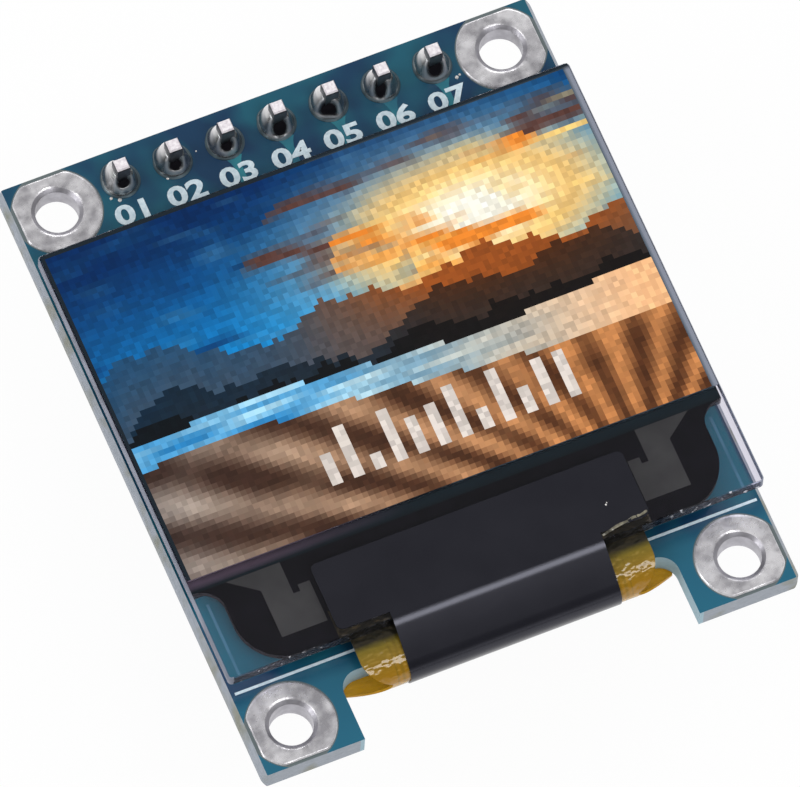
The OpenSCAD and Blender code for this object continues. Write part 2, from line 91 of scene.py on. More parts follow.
# the new primitive gets its name, and its place and size go into its mesh
def settle(name):
    piece = bpy.context.object
    piece.name = name
    piece.data.name = name
    bpy.ops.object.transform_apply(location=True, rotation=True, scale=True)
    return piece


def addBlock(name, low, high):
    deselectAll()
    low, high = Vector(low), Vector(high)
    bpy.ops.mesh.primitive_cube_add(size=1, location=(low + high) / 2)
    bpy.context.object.scale = high - low
    return settle(name)


# goes into edit mode with only the edges that pass the test selected
def pickEdges(piece, test):
    makeActive(piece)
    bpy.ops.object.mode_set(mode="EDIT")
    bpy.ops.mesh.select_mode(type="EDGE")
    bpy.ops.mesh.select_all(action="DESELECT")
    leaveEdit()
    for edge in piece.data.edges:
        a, b = (piece.data.vertices[v].co for v in edge.vertices)
        edge.select = bool(test(a, b))
    bpy.ops.object.mode_set(mode="EDIT")


def extrude(step):
    bpy.ops.mesh.extrude_region_move(TRANSFORM_OT_translate={"value": step})


def applyModifier(piece, kind, **settings):
    makeActive(piece)
    modifier = piece.modifiers.new(kind.title(), kind)
    for name, value in settings.items():
        setattr(modifier, name, value)
    bpy.ops.object.modifier_apply(modifier=modifier.name)


def roundEdges(piece, width, segments, angle=30):
    applyModifier(piece, "BEVEL", width=width, segments=segments, limit_method="ANGLE",
                  angle_limit=math.radians(angle), use_clamp_overlap=True)


def smooth(piece, angle):
    makeActive(piece)
    bpy.ops.object.shade_smooth_by_angle(angle=math.radians(angle))


def tidyNormals(piece):
    makeActive(piece)
    bpy.ops.object.mode_set(mode="EDIT")
    bpy.ops.mesh.select_all(action="SELECT")
    bpy.ops.mesh.remove_doubles(threshold=0.001 * mm)
    bpy.ops.mesh.normals_make_consistent(inside=False)
    leaveEdit()


# rings of one circle, each extruded from the last: profile holds (radius, height) pairs
def lathe(name, x, y, profile, segments, close=False):
    deselectAll()
    radius, height = profile[0]
    bpy.ops.mesh.primitive_circle_add(vertices=segments, radius=radius, location=(x, y, height))
    piece = settle(name)
    bpy.ops.object.mode_set(mode="EDIT")
    bpy.ops.mesh.select_all(action="SELECT")
    for nextRadius, nextHeight in profile[1:]:
        extrude((0, 0, nextHeight - height))
        scale = nextRadius / radius
        bpy.ops.transform.resize(value=(scale, scale, 1), center_override=(x, y, nextHeight))
        radius, height = nextRadius, nextHeight
    if close:
        bpy.ops.mesh.edge_face_add()
    leaveEdit()
    tidyNormals(piece)
    return piece


# a ribbon across x, its edge extruded from station to station: stations hold (y, z, half width)
def ribbon(name, x, stations, thickness):
    deselectAll()
    y, z, half = stations[0]
    bpy.ops.mesh.primitive_plane_add(size=2 * half, location=(x, y + half, z))
    piece = settle(name)
    pickEdges(piece, lambda a, b: min(a.y, b.y) > y + half)
    bpy.ops.mesh.delete(type="VERT")
    bpy.ops.mesh.select_all(action="SELECT")
    for nextY, nextZ, nextHalf in stations[1:]:
        extrude((0, nextY - y, nextZ - z))
        bpy.ops.transform.resize(value=(nextHalf / half, 1, 1), center_override=(x, nextY, nextZ))
        y, z, half = nextY, nextZ, nextHalf
    bpy.ops.mesh.select_all(action="SELECT")
    bpy.ops.mesh.normals_make_consistent(inside=False)
    leaveEdit()
    applyModifier(piece, "SOLIDIFY", thickness=thickness, offset=0)
    return piece


# a ribbon of one width between two places on y
def strip(name, x, start, end, z, wide, thickness):
    stations = [(y, z, wide / 2) for y in (start, (start + end) / 2, end)]
    return ribbon(name, x, stations, thickness)


def copyPiece(piece, name, offset):
    new = piece.copy()
    new.data = piece.data.copy()
    new.name = new.data.name = name
    bpy.context.collection.objects.link(new)
    new.data.transform(Matrix.Translation(offset))
    return new


def joinPieces(pieces, name):
    makeActive(pieces[0])
    for piece in pieces:
        piece.select_set(True)
    bpy.ops.object.join()
    return settle(name)


def paint(piece, *materials):
    piece.data.materials.clear()
    for material in materials:
        piece.data.materials.append(material)


# every piece made here rides on the one body and stands for its nodes
def place(piece, slotName, *nodes):
    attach(piece, "root")
    if nodes:
        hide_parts(*nodes)


def finishPiece(piece, material, slotName, *nodes, angle=0):
    if angle:
        smooth(piece, angle)
    paint(piece, material)
    place(piece, slotName, *nodes)


# helpers for materials and colours

def triple(colour):
    return [int(colour[i:i + 2], 16) / 255 for i in (1, 3, 5)] if isinstance(colour, str) else colour


def srgb(colour):
    return [p / 12.92 if p <= 0.04045 else ((p + 0.055) / 1.055) ** 2.4 for p in triple(colour)] + [1]


# a word for each node used: its kind, its inputs in the order they are given, the output taken
# (none for all of them) and its settings; any other word is the operation of a Math node
nodeWords = {
    "place": ("TexCoord", (), "Object", {}),
    "direction": ("TexCoord", (), "Generated", {}),
    "axes": ("SeparateXYZ", (0,), None, {}),
    "point": ("CombineXYZ", (0, 1, 2), 0, {}),
    "length": ("VectorMath", (0,), "Value", {"operation": "LENGTH"}),
    "mapping": ("Mapping", ("Vector", "Scale"), 0, {}),
    "noise": ("TexNoise", ("Vector", "Scale", "Detail"), 0, {}),
    "bump": ("Bump", ("Height", "Distance", "Strength"), 0, {}),
    "share": ("Attribute", (), "Fac", {}),
    "colours": ("Attribute", (), "Color", {}),
    "path": ("LightPath", (), None, {}),
    "backfacing": ("NewGeometry", (), "Backfacing", {}),
    "fresnel": ("Fresnel", ("IOR",), 0, {}),
    "range": ("MapRange", ("Value", "From Min", "From Max", "To Min", "To Max"), 0, {}),
    "level": ("Mix", (0, 2, 3), 0, {}),
    "blend": ("Mix", (0, 6, 7), 2, {"data_type": "RGBA"}),
    "layer": ("MixShader", (0, 1, 2), 0, {}),
    "matt": ("BsdfDiffuse", ("Color",), 0, {}),
    "mirror": ("BsdfGlossy", ("Color", "Roughness"), 0, {}),
    "glass": ("BsdfGlass", ("Color", "Roughness", "IOR", "Normal"), 0, {}),
    "clear": ("BsdfTransparent", ("Color",), 0, {}),
    "glow": ("Emission", ("Color", "Strength"), 0, {}),
    "body": ("BsdfPrincipled", ("Base Color", "Roughness", "Normal", "Metallic"), 0, {}),
    "surface": ("OutputMaterial", ("Surface",), None, {}),
    "background": ("Background", ("Color", "Strength"), 0, {}),
    "world": ("OutputWorld", ("Surface",), None, {}),
}


# sets each value on the node's input or links it; a text value is a colour's hex code
def addNode(owner, word, *values, more=None, **settings):
    kind, inputs, output, usual = nodeWords.get(word, ("Math", (0, 1), 0, {"operation": word}))
    node = owner.node_tree.nodes.new("ShaderNode" + kind)
    for key, setting in {**usual, **settings}.items():
        setattr(node, key, setting)
    for socket, value in [*zip(inputs, values), *(more or {}).items()]:
        if isinstance(value, bpy.types.NodeSocket):
            owner.node_tree.links.new(value, node.inputs[socket])
        else:
            node.inputs[socket].default_value = srgb(value) if isinstance(value, str) else value
    return node.outputs if output is None else node.outputs[output]


# gives the empty material or world, and the function that adds nodes to it
def startNodes(holder):
    holder.use_nodes = True
    holder.node_tree.nodes.clear()
    return holder, partial(addNode, holder)


def startMaterial(name):
    return startNodes(bpy.data.materials.new(name))


# noise whose grain is a real size in millimetres
def grain(add, size, detail=2, stretch=(1, 1, 1)):
    return add("noise", add("mapping", add("place"), stretch), 1 / (size * mm), detail)


# distance to either side of the panel's middle
def fromMiddle(add, x):
    return add("ABSOLUTE", add("SUBTRACT", x, panelX))


print("camera and stage")
cameraValues = {
    "distance": 0.8,
    "lens": 804.3,
    "right": (0.9199, -0.3904, 0.0355),
    "back": (-0.1925, -0.3710, 0.9085),
    "aim": (-0.05 * mm, 0.05 * mm, boardTop),
    "slideRight": 0.191 * mm,
    "slideUp": -0.485 * mm,
    "clip": 0.05,
}


def makeCamera(distance, lens, right, back, aim, slideRight, slideUp, clip):
    back, right = Vector(back).normalized(), Vector(right)
    right = (right - back * right.dot(back)).normalized()
    up = back.cross(right)
    camera = bpy.data.objects.new("camera", bpy.data.cameras.new("camera"))
    bpy.context.collection.objects.link(camera)
    turn = Matrix((right, up, back)).transposed().to_4x4()
    spot = Vector(aim) + back * distance
    spot += right * slideRight + up * slideUp
    camera.matrix_world = Matrix.Translation(spot) @ turn
    camera.data.lens = lens
    camera.data.clip_start = clip
    bpy.context.scene.camera = camera


makeCamera(**cameraValues)

# gloss sees a white floor and horizon that fade on the side that the camera stands on
floorValues = {
    "gap": 0.05 * mm,            # below the pins' ends
    "size": 6.0,
    "paper": (0.9, 0.9, 0.9, 1),
    "glow": 0.95,                # the share of the floor's white that a shadow can't darken
    "front": (-0.18, -0.09),     # distances between which it fades
    "frontDark": 0.92,
}
worldValues = {
    "roomLight": 0.76,           # light that matt surfaces get from the room
    "ceiling": 0.26,             # how bright gloss sees the ceiling
    "horizon": (0.08, 0.36),     # heights between which gloss sees white fade to the ceiling
    "front": 0.06,               # how much white is left on the camera's side
    "frontSide": (-0.75, -0.3),  # directions between which that side begins
    "frontHorizon": (0.10, 0.32),
}


# a matt white floor that every ray but those of matt surfaces sees evenly lit, clear from below
def makeFloor(gap, size, paper, glow, front, frontDark):
    deselectAll()
    bpy.ops.mesh.primitive_plane_add(size=size, location=(0, 0, cadBox[0].z - gap))
    floor = settle("floor")
    material, add = startMaterial("whitePaperFloor")
    path = add("path")
    seen = add("MAXIMUM", path["Is Camera Ray"], path["Is Glossy Ray"])
    seen = add("MAXIMUM", seen, path["Is Transmission Ray"])
    paper = add("matt", paper)
    white = add("layer", glow, paper, add("glow", "#ffffff", 1.0))
    lit = add("layer", seen, paper, white)
    y = add("axes", add("place"))["Y"]
    dim = add("range", y, *front, frontDark, 0.0)
    dim = add("MULTIPLY", path["Is Glossy Ray"], dim)
    lit = add("layer", dim, lit, add("glow", "#000000", 0.0))
    add("surface", add("layer", add("backfacing"), lit, add("clear")))
    paint(floor, material)


def makeWorld(roomLight, ceiling, horizon, front, frontSide, frontHorizon):
    world, add = startNodes(bpy.data.worlds.new("studio"))
    bpy.context.scene.world = world
    path = add("path")
    x, y, height = add("axes", add("direction"))
    ceiling = add("range", height, *horizon, 1.0, ceiling)
    side = add("range", y, *frontSide, front, 1.0)
    side = add("MAXIMUM", side, add("range", height, *frontHorizon, 1.0, 0.0))
    seen = add("MAXIMUM", path["Is Camera Ray"], path["Is Transmission Ray"])
    level = add("level", path["Is Glossy Ray"], roomLight, add("MULTIPLY", ceiling, side))
    add("world", add("background", "#ffffff", add("level", seen, level, 1.0)))


makeFloor(**floorValues)
makeWorld(**worldValues)

lampValues = {
    "key": {"towards": (0.19, -0.50, 0.85), "distance": 0.5, "size": (0.18, 0.10), "power": 0.42},
    "side": {"towards": (-0.80, 0.10, 0.60), "distance": 0.5, "size": (0.20, 0.20), "power": 0.5},
    "rear": {"towards": (0.35, 0.85, 0.45), "distance": 0.5, "size": (0.30, 0.08), "power": 0.4},
}


def makeLamps(values):
    for name, lamp in values.items():
        light = bpy.data.lights.new(name, "AREA")
        light.shape = "RECTANGLE"
        light.size, light.size_y = lamp["size"]
        light.energy = lamp["power"]
        thing = bpy.data.objects.new(name, light)
        bpy.context.collection.objects.link(thing)
        towards = Vector(lamp["towards"]).normalized()
        thing.location = towards * lamp["distance"]
        thing.rotation_euler = towards.to_track_quat("Z", "Y").to_euler()


makeLamps(lampValues)
bpy.context.scene.view_settings.view_transform = "Standard"

print("materials")
maskValues = {
    "holes": (10.85 * mm, 13.55 * mm),
    "opening": 2.10 * mm,        # radius of the opening in the mask round each hole
    "slotHalf": 8.3 * mm,        # the slot's walls, which are paler than the other edges, reach this far
    "skin": 0.004 * mm,
}


# epoxy solder mask printed over fibreglass laminate: deep blue gloss on the faces with bare grey-green
# laminate round the screw holes, darkened in part as painted shade where it rings the lands, and pale sawn
# glass plies on the edges
def makeMaskedBoard(holes, opening, slotHalf, skin):
    material, add = startMaterial("solderMaskOnLaminate")
    x, y, z = add("axes", add("place"))
    front = add("GREATER_THAN", z, boardTop - skin)
    back = add("LESS_THAN", z, boardLow.z + skin)
    face = add("ADD", front, back)
    offsets = [add("SUBTRACT", add("ABSOLUTE", axis), hole) for axis, hole in zip((x, y), holes)]
    bare = add("LESS_THAN", add("length", add("point", *offsets)), opening)
    cloud = add("level", back, add("range", grain(add, 3.0), 0.4, 0.62), 0.45)
    blue = add("blend", cloud, "#153a5a", "#1b5a6e")
    footward = add("range", y, glassLow.y - 1 * mm, glassLow.y, 0.9, 0)
    blue = add("blend", footward, blue, "#20657e")
    mask = add("body", blue, 0.22, add("bump", grain(add, 0.35), 0.006 * mm, 0.6))
    plies = grain(add, 0.5, 3, (1, 1, 9))
    sawn = add("blend", add("range", grain(add, 1.6, 3), 0.5, 0.66), "#a0a6b0", "#8d8d80")
    sawn = add("blend", add("range", plies, 0.35, 0.7, 0, 0.4), sawn, "#6d7a80")
    inSlot = add("LESS_THAN", add("ABSOLUTE", x), slotHalf)
    inSlot = add("MULTIPLY", inSlot, add("LESS_THAN", y, 0))
    sawn = add("blend", add("MULTIPLY", inSlot, 0.75), sawn, "#9dc0cd")
    # the bare laminate's dark grey is partly painted shade along the lands' edges
    sawn = add("blend", face, sawn, "#5f6a6c")
    edge = add("body", sawn, 0.6, add("bump", plies, 0.04 * mm, 0.7))
    # under the glass ledge the mask is matt, since the glass takes its gloss, and a flat lighter teal that is
    # painted light spreading through the glass; the painted light stops short of the glass's lower edge and
    # sides
    behind = add("range", y, glassLow.y + 0.35 * mm, glassLow.y + 0.5 * mm)
    behind = add("MULTIPLY", behind, add("LESS_THAN", y, filmLow.y + 0.6 * mm))
    inward = add("range", fromMiddle(add, x), panelHalf - 0.4 * mm, panelHalf - 0.25 * mm, 1, 0)
    behind = add("MULTIPLY", add("MULTIPLY", behind, inward), front)
    mask = add("layer", behind, mask, add("matt", "#1f7484"))
    masked = add("MULTIPLY", face, add("SUBTRACT", 1.0, bare))
    add("surface", add("layer", masked, edge, mask))
    return material


# the same mask over copper: the copper under it makes it a lighter teal
def makeMaskedCopper():
    material, add = startMaterial("solderMaskOnCopper")
    teal = add("blend", add("range", grain(add, 1.5), 0.35, 0.65), "#256078", "#2f7f8c")
    add("surface", add("body", teal, 0.22))
    return material


# a pin cut from tinned brass whose sides mirror the board: above the board they are painted dark grey as
# painted shade, below it they keep the tin's pale colour; the rough cut end is painted near-white as a
# painted highlight
def makePinMetal():
    material, add = startMaterial("cutTinPlatedBrass")
    height = add("axes", add("place"))["Z"]
    fine = grain(add, 0.15)
    below = add("LESS_THAN", height, boardLow.z)
    # painted shade: the sides above the board are a darker grey than the tin below it
    colour = add("blend", below, add("blend", fine, "#4c4b50", "#77757a"), "#dcd8d0")
    plated = add("body", colour, 0.3, add("bump", fine, 0.01 * mm), add("level", below, 1.0, 0.6))
    # painted highlight: the cut end is near-white
    paintedPale = add("blend", add("range", fine, 0.35, 0.65), "#d8d0d6", "#f4eff2")
    paintedPale = add("body", paintedPale, 0.6, add("bump", fine, 0.02 * mm))
    cut = add("GREATER_THAN", height, pinBoxes[0][1].z - 0.10 * mm)
    add("surface", add("layer", cut, plated, paintedPale))
    return material


# one uneven metal, used for tin, solder and plating: soft grey with a grainy gloss
def makeMetal(name, light, dark, roughness, lump, lumpDepth, metallic):
    material, add = startMaterial(name)
    lumps = grain(add, lump, 3)
    colour = add("blend", add("range", lumps, 0.35, 0.65), dark, light)
    rough = add("range", grain(add, lump / 3), 0.3, 0.7, *roughness)
    add("surface", add("body", colour, rough, add("bump", lumps, lumpDepth * mm), metallic))
    return material


# a plain moulded, printed or cured surface with a little grain and colour change
def makePlain(name, light, dark, roughness, size, depth, more=None):
    material, add = startMaterial(name)
    mottle = grain(add, size, 3)
    colour = add("blend", add("range", mottle, 0.3, 0.7), dark, light)
    add("surface", add("body", colour, roughness, add("bump", mottle, depth * mm), more=more))
    return material


# a cured or glued surface pressed against glass: no gloss of its own
def makeMatt(name, light, dark, size):
    material, add = startMaterial(name)
    add("surface", add("matt", add("blend", add("range", grain(add, size, 3), 0.3, 0.7), dark, light)))
    return material


# float glass: clear, with a sharp reflection, and light passes to what lies behind it; where it is scribed,
# chalky all along the panel's sides and chipped near the ends of its other edges, the chips pale chalk that
# is partly painted highlight standing in for glints
def makeGlass(name, tint, roughness, ripple=0.0, frostAndHighlight=0.0):
    material, add = startMaterial(name)
    ripples = [add("bump", grain(add, 0.22, 3), ripple * mm)] if ripple else []
    glass = add("glass", tint, roughness, 1.5, *ripples)
    if frostAndHighlight:
        outward = fromMiddle(add, add("axes", add("place"))["X"])
        side = add("GREATER_THAN", outward, panelHalf - 0.2 * mm)
        chalk = add("matt", add("blend", side, "#d5d7de", "#a7abb9"))
        even = add("range", grain(add, 1.5), 0.35, 0.65, 0.6 * frostAndHighlight, frostAndHighlight)
        # painted highlight: pale chalk chips on the dark lower edge
        chipGlints = add("range", grain(add, 0.35, 3), 0.60, 0.68, 0.04, 0.9)
        chipGlints = add("MULTIPLY", chipGlints, add("range", outward, 8 * mm, 9 * mm, 0.04, 1))
        glass = add("layer", add("level", side, chipGlints, even), glass, chalk)
    add("surface", add("layer", add("path")["Is Shadow Ray"], glass, add("clear", tint)))
    return material


maskedBoard = makeMaskedBoard(**maskValues)
maskedCopper = makeMaskedCopper()
hotTin = makeMetal("hotTinnedCopper", "#fbf9fc", "#b6b4b9", (0.2, 0.42), 0.8, 0.05, 0.55)
# the tin in the bore and inner mouth: rougher, and darker as painted shade in the hole
shadedBoreTin = makeMetal("shadedBoreTin", "#bebcc3", "#a9a7ae", (0.34, 0.44), 0.5, 0.01, 0.8)
solder = makeMetal("tinSolder", "#aeb0b0", "#828586", (0.16, 0.28), 0.45, 0.03, 0.9)
pinMetal = makePinMetal()
pinTin = makeMetal("tinPlatedBrass", "#efecea", "#dcd8d5", (0.18, 0.3), 0.3, 0.006, 0.35)
whiteInk = makePlain("screenPrintedWhiteInk", "#dcebf2", "#bfd3de", 0.55, 0.2, 0.004)
clearGlass = makeGlass("floatGlass", "#eeedf3", 0.0)
scribedGlass = makeGlass("scribedGlassEdge", "#b4b8c8", 0.1, 0.09, 0.7)
potting = makeMatt("curedBlackResin", "#1a191e", "#131316", 0.8)
blackTape = makePlain("blackPolyesterTape", "#202026", "#1b1b21", 0.21, 2.5, 0.006,
                      {"IOR": 1.55, "Specular Tint": "#dcddee"})
nylon = makePlain("mouldedBlackNylon", "#232326", "#19191b", 0.45, 0.4, 0.02)
epoxy = makePlain("mouldedBlackEpoxy", "#2b2b2e", "#1f1f22", 0.6, 0.12, 0.01)
foam = makePlain("whiteFoamTape", "#e9e7e1", "#d3d0c8", 0.9, 0.2, 0.04)
contactFilm = makePlain("sputteredContactMetal", "#4c4c49", "#41413f", 0.5, 1.2, 0.002,
                        {"Specular IOR Level": 0.1})
ferrite = makePlain("sinteredFerrite", "#3d3b39", "#2b2a29", 0.5, 0.1, 0.015)
ceramic = makePlain("firedCeramic", "#b99c74", "#a98b62", 0.45, 0.15, 0.008)
resistorGlaze = makePlain("blackGlazedResistor", "#1d1d20", "#131315", 0.3, 0.2, 0.004)
alumina = makePlain("firedAlumina", "#eae8e2", "#d9d6ce", 0.5, 0.1, 0.004)
# the torn tape edge's pale colour is partly painted highlight
glossyTornEdge = makePlain("paleGlossyTapeEdge", "#8f8a78", "#2c2a26", 0.12, 0.3, 0.02,
                      {"Coat Weight": 0.6, "Coat Roughness": 0.15})
enamelledWire = makeMetal("enamelledCopperWire", "#b8653a", "#8f4826", (0.25, 0.4), 0.2, 0.004, 0.9)
paleUnderGlassLines = makeMatt("paleMattLinesUnderGlass", "#5f9cb0", "#3f7f92", 1.5)
# the purple fringe is a painted highlight of the film's lower edge
fringeHighlightEnds = (-9.5 * mm, -2 * mm)    # the purple fringe of the film's lower edge fades between these


# clear cured resin between the two glasses: a thin teal-grey veil, with a purple painted highlight of the
# film's edge just below the film
def makeSealResin():
    material, add = startMaterial("clearSealResin")
    x, y, z = add("axes", add("place"))
    veil = add("blend", add("range", y, rearLow.y, filmLow.y), "#1a2428", "#22343b")
    fringeHighlight = add("range", y, filmLow.y - 0.35 * mm, filmLow.y - 0.08 * mm)
    fringeHighlight = add("MULTIPLY", fringeHighlight, add("range", x, *fringeHighlightEnds, 1, 0))
    veil = add("matt", add("blend", fringeHighlight, veil, "#6a5a68"))
    share = add("range", y, filmLow.y, filmLow.y + 0.4 * mm, 1.0, 0.3)
    add("surface", add("layer", share, add("clear", "#c4d6d8"), veil))
    return material


# a moulded part: black epoxy body, tinned leads beyond the body, and a mark printed across its end
def makeMoulded(name, node, axis, band=None):
    material, add = startMaterial(name)
    low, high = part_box(node)
    parts = add("axes", add("place"))
    fine = grain(add, 0.12, 3)
    colour = add("blend", fine, "#1f1f22", "#2d2d30")
    if band:
        start, end = (low[axis] + reach for reach in band)
        mark = add("MULTIPLY", add("GREATER_THAN", parts[axis], start), add("LESS_THAN", parts[axis], end))
        mark = add("MULTIPLY", mark, add("LESS_THAN", parts[2], low.z + 0.03 * mm))
        colour = add("blend", mark, colour, "#b9b9b4")
    body = add("body", colour, 0.55, add("bump", fine, 0.01 * mm))
    tin = add("blend", grain(add, 0.3), "#b9b7b6", "#e6e4e2")
    tin = add("body", tin, 0.3, add("bump", fine, 0.006 * mm), 0.8)
    away = add("ABSOLUTE", add("SUBTRACT", parts[axis], (low + high)[axis] / 2))
    add("surface", add("layer", add("GREATER_THAN", away, mouldedHalf), body, tin))
    return material


mouldedHalf = 0.81 * mm    # from a moulded part's middle to where its leads come out
resin = makeSealResin()
regulatorPlastic = makeMoulded("mouldedEpoxyWithLeads", "regulator", 1)
converterPlastic = makeMoulded("mouldedEpoxyWithSixLeads", "boost_converter", 1)
diodePlastic = makeMoulded("mouldedEpoxyWithBand", "diode", 0, (0.68 * mm, 0.92 * mm))

print("mounting lands")
landValues = {
    "segments": 96,
    "hole": 1.0 * mm,
    "mouth": 1.25 * mm,
    "deep": 0.10 * mm,           # how far down the mouth slopes
    "front": 2.05 * mm,
    "back": 1.9 * mm,
    "wall": 0.05 * mm,
    "skin": 0.06 * mm,
    # the dipped tin's rings: how far out they lie, and their rise in skins
    "rings": ((0.10, 0.25), (0.28, 0.1), (0.50, 0), (0.70, 0.15), (0.84, 0.35), (0.94, 0)),
    "lumps": 0.035 * mm,         # unevenness of the dipped tin
    "lumpSize": 0.7 * mm,
    # the bore's darker tin is painted shade in the hole; its roughness is real
    "dullInside": 0.08 * mm,     # the bore's duller tin ends this far inside the mouth
}


# the tin follows the pad, whose outline is cut straight where the board's edges come close
def makeLand(x, y, segments, hole, mouth, deep, front, back, wall, skin, rings, lumps, lumpSize, dullInside):
    top, bottom = boardTop + skin, boardLow.z
    seat = hole + wall + (mouth - hole) * deep / (deep + skin)
    profile = [(hole, bottom + deep), (hole, boardTop * 0.5), (hole, boardTop - deep),
               (hole + 0.04 * mm, boardTop - deep * 0.7), (mouth - 0.07 * mm, boardTop + skin * 0.35),
               (mouth, top)]
    profile += [(mouth + (front - mouth) * out, top + skin * rise) for out, rise in rings]
    profile += [(front, boardTop), (seat, boardTop), (hole + wall, boardTop - deep),
                (hole + wall, bottom + deep), (seat, bottom), (back, bottom),
                (back - skin * 0.4, bottom - skin), (mouth, bottom - skin), (hole, bottom + deep)]
    land = lathe("mountingLand", x, y, profile, segments)
    reachX = min(landHigh.x - abs(x), front)
    reachY = min(landHigh.y - abs(y), front)
    for vertex in land.data.vertices:
        out = Vector((vertex.co.x - x, vertex.co.y - y))
        radius = out.length
        if radius > mouth + wall + 0.001 * mm:
            outX, outY = out.x * math.copysign(1, x) / radius, out.y * math.copysign(1, y) / radius
            limit = min(front, reachX / max(outX, 0.01), reachY / max(outY, 0.01))
            grown = mouth + (radius - mouth) * (limit - mouth) / (front - mouth)
            vertex.co.x, vertex.co.y = x + out.x * grown / radius, y + out.y * grown / radius
        if vertex.co.z > boardTop + skin / 2:
            vertex.co.z += lumps * noise.noise(vertex.co / lumpSize)
    smooth(land, 50)
    paint(land, hotTin, shadedBoreTin)
    for face in land.data.polygons:
        radius = Vector((face.center.x - x, face.center.y - y, 0)).length
        face.material_index = 1 if radius < mouth - dullInside else 0
    return land


landX, landY = maskValues["holes"]
lands = [makeLand(x * landX, y * landY, **landValues) for x in (-1, 1) for y in (-1, 1)]
place(joinPieces(lands, "mountingLands"), "tinned_copper", "mounting_lands")

print("solder joints")
jointValues = {
    "segments": 64,
    "pad": 0.90 * mm,
    # radius and height of each ring, in millimetres
    "flank": ((0.90, 0.02), (0.87, 0.04), (0.82, 0.06), (0.77, 0.12), (0.74, 0.18), (0.71, 0.26),
              (0.68, 0.36), (0.65, 0.46), (0.62, 0.56), (0.59, 0.66), (0.56, 0.75), (0.53, 0.83),
              (0.49, 0.90), (0.45, 0.96), (0.41, 1.01), (0.37, 1.05), (0.33, 1.08)),
    "lumps": 0.06,
    "lumpSize": 0.5 * mm,
    # for each joint: the hollow's direction, distance and half sizes, its depth, and the lobe behind the pin
    "hollows": ((-96, 0.42, (0.20, 0.34), 0.40, 0.42), (-97, 0.43, (0.22, 0.35), 0.45, 0.34),
                (-103, 0.43, (0.21, 0.33), 0.45, 0.20), (-98, 0.48, (0.26, 0.40), 0.35, 0.34),
                (-115, 0.50, (0.20, 0.46), 0.30, 0.30), (-115, 0.47, (0.28, 0.32), 0.35, 0.04),
                (-98, 0.43, (0.26, 0.40), 0.30, 0.28)),
    "hollowEdge": 0.30,          # how far into the hollow its wall begins
    "lobeTurn": 118,
    "lobePlace": (0.62, 0.12),        # the lobe's distance and half width
    # the white on the back of the joint is a painted highlight
    "frostAndHighlight": (0.9, 0.30, 0.25),  # how white the back of the joint is, and the height it starts and grows over
}


# solder: soft grey metal, darker at the foot as painted shade and rougher there; the hollow beside the pin is
# painted near-black as painted shade, ringed by a pale painted highlight, and the back of the joint carries a
# white painted highlight
def makeSolder():
    material, add = startMaterial("tinSolderWithPaintedLight")
    lumps = grain(add, 0.45, 3)
    metal = add("blend", add("range", lumps, 0.35, 0.65), "#828586", "#aeb0b0")
    hollow = add("share", attribute_name="hollow")
    # painted highlight: a pale, smoother ring round the hollow
    rimHighlight = add("MULTIPLY", add("range", hollow, 0.02, 0.22), add("range", hollow, 0.30, 0.48, 1, 0))
    metal = add("blend", add("MULTIPLY", rimHighlight, 0.8), metal, "#e3e4e8")
    height = add("axes", add("place"))["Z"]
    # painted shade: the foot is a darker teal-grey
    footShade = add("range", height, boardTop + 0.05 * mm, boardTop + 0.14 * mm, 1, 0)
    metal = add("blend", footShade, metal, "#5f7078")
    rough = add("MAXIMUM", add("level", rimHighlight, 0.22, 0.5), add("MULTIPLY", footShade, 0.5))
    shine = add("body", metal, rough, add("bump", lumps, 0.03 * mm), 0.9)
    # painted highlight: matt white on the back of the joint
    shine = add("layer", add("share", attribute_name="frostAndHighlight"), shine, add("matt", "#f1eff0"))
    # painted shade: the hollow is near-black and matt
    add("surface", add("layer", add("range", hollow, 0.32, 0.56), shine, add("matt", "#17161a")))
    return material


def turned(degrees):
    return Vector((math.cos(math.radians(degrees)), math.sin(math.radians(degrees)), 0))


def makeSolderJoint(number, spot, segments, pad, flank, lumps, lumpSize, hollows, hollowEdge, lobeTurn,
                    lobePlace, frostAndHighlight):
    profile = [(pad, boardTop)] + [(r * mm, boardTop + h * mm) for r, h in flank]
    joint = lathe(f"solderJoint_{number}", spot.x, spot.y, profile, segments, close=True)
    centre = Vector((spot.x, spot.y, 0))
    turn, distance, (deepHalf, wideHalf), depth, lobe = hollows[number - 1]
    towards, behind = turned(turn), turned(lobeTurn)
    across = Vector((-towards.y, towards.x, 0))
    lobeAway, lobeHalf = lobePlace
    white, whiteStart, whiteRise = frostAndHighlight
    depths, highlightShares = [], []
    for vertex in joint.data.vertices:
        out = vertex.co - centre
        out.z = 0
        away, side = out.dot(towards) / mm - distance, out.dot(across) / mm
        inside = max(0, 1 - math.hypot(away / deepHalf, side / wideHalf) / 1.6)
        depths.append(inside)
        # painted highlight: how white each point on the joint's back is painted
        high = min(1, max(0, (vertex.co.z - boardTop) / mm - whiteStart) / whiteRise)
        facing = max(0, out.normalized().dot(behind))
        highlightShares.append(white * high * facing ** 2)
        if vertex.co.z > boardTop + 0.04 * mm:
            grow = lumps * noise.noise(vertex.co / lumpSize + Vector((number, 0, 0)))
            grow += 0.4 * lobe * facing ** 4
            bulge = math.exp(-((out.length / mm - lobeAway) / lobeHalf) ** 2)
            vertex.co.z += 0.8 * lobe * mm * facing ** 4 * bulge
            vertex.co += out * grow
            fall = min(1, max(0, (inside - hollowEdge) / 0.35)) * depth * mm
            vertex.co.z = max(boardTop + 0.03 * mm, vertex.co.z - fall)
    for name, shares in (("hollow", depths), ("frostAndHighlight", highlightShares)):
        layer = joint.data.attributes.new(name, "FLOAT", "POINT")
        for i, share in enumerate(shares):
            layer.data[i].value = share
    finishPiece(joint, jointSolder, "solder", f"solder_joint_{number}", angle=60)


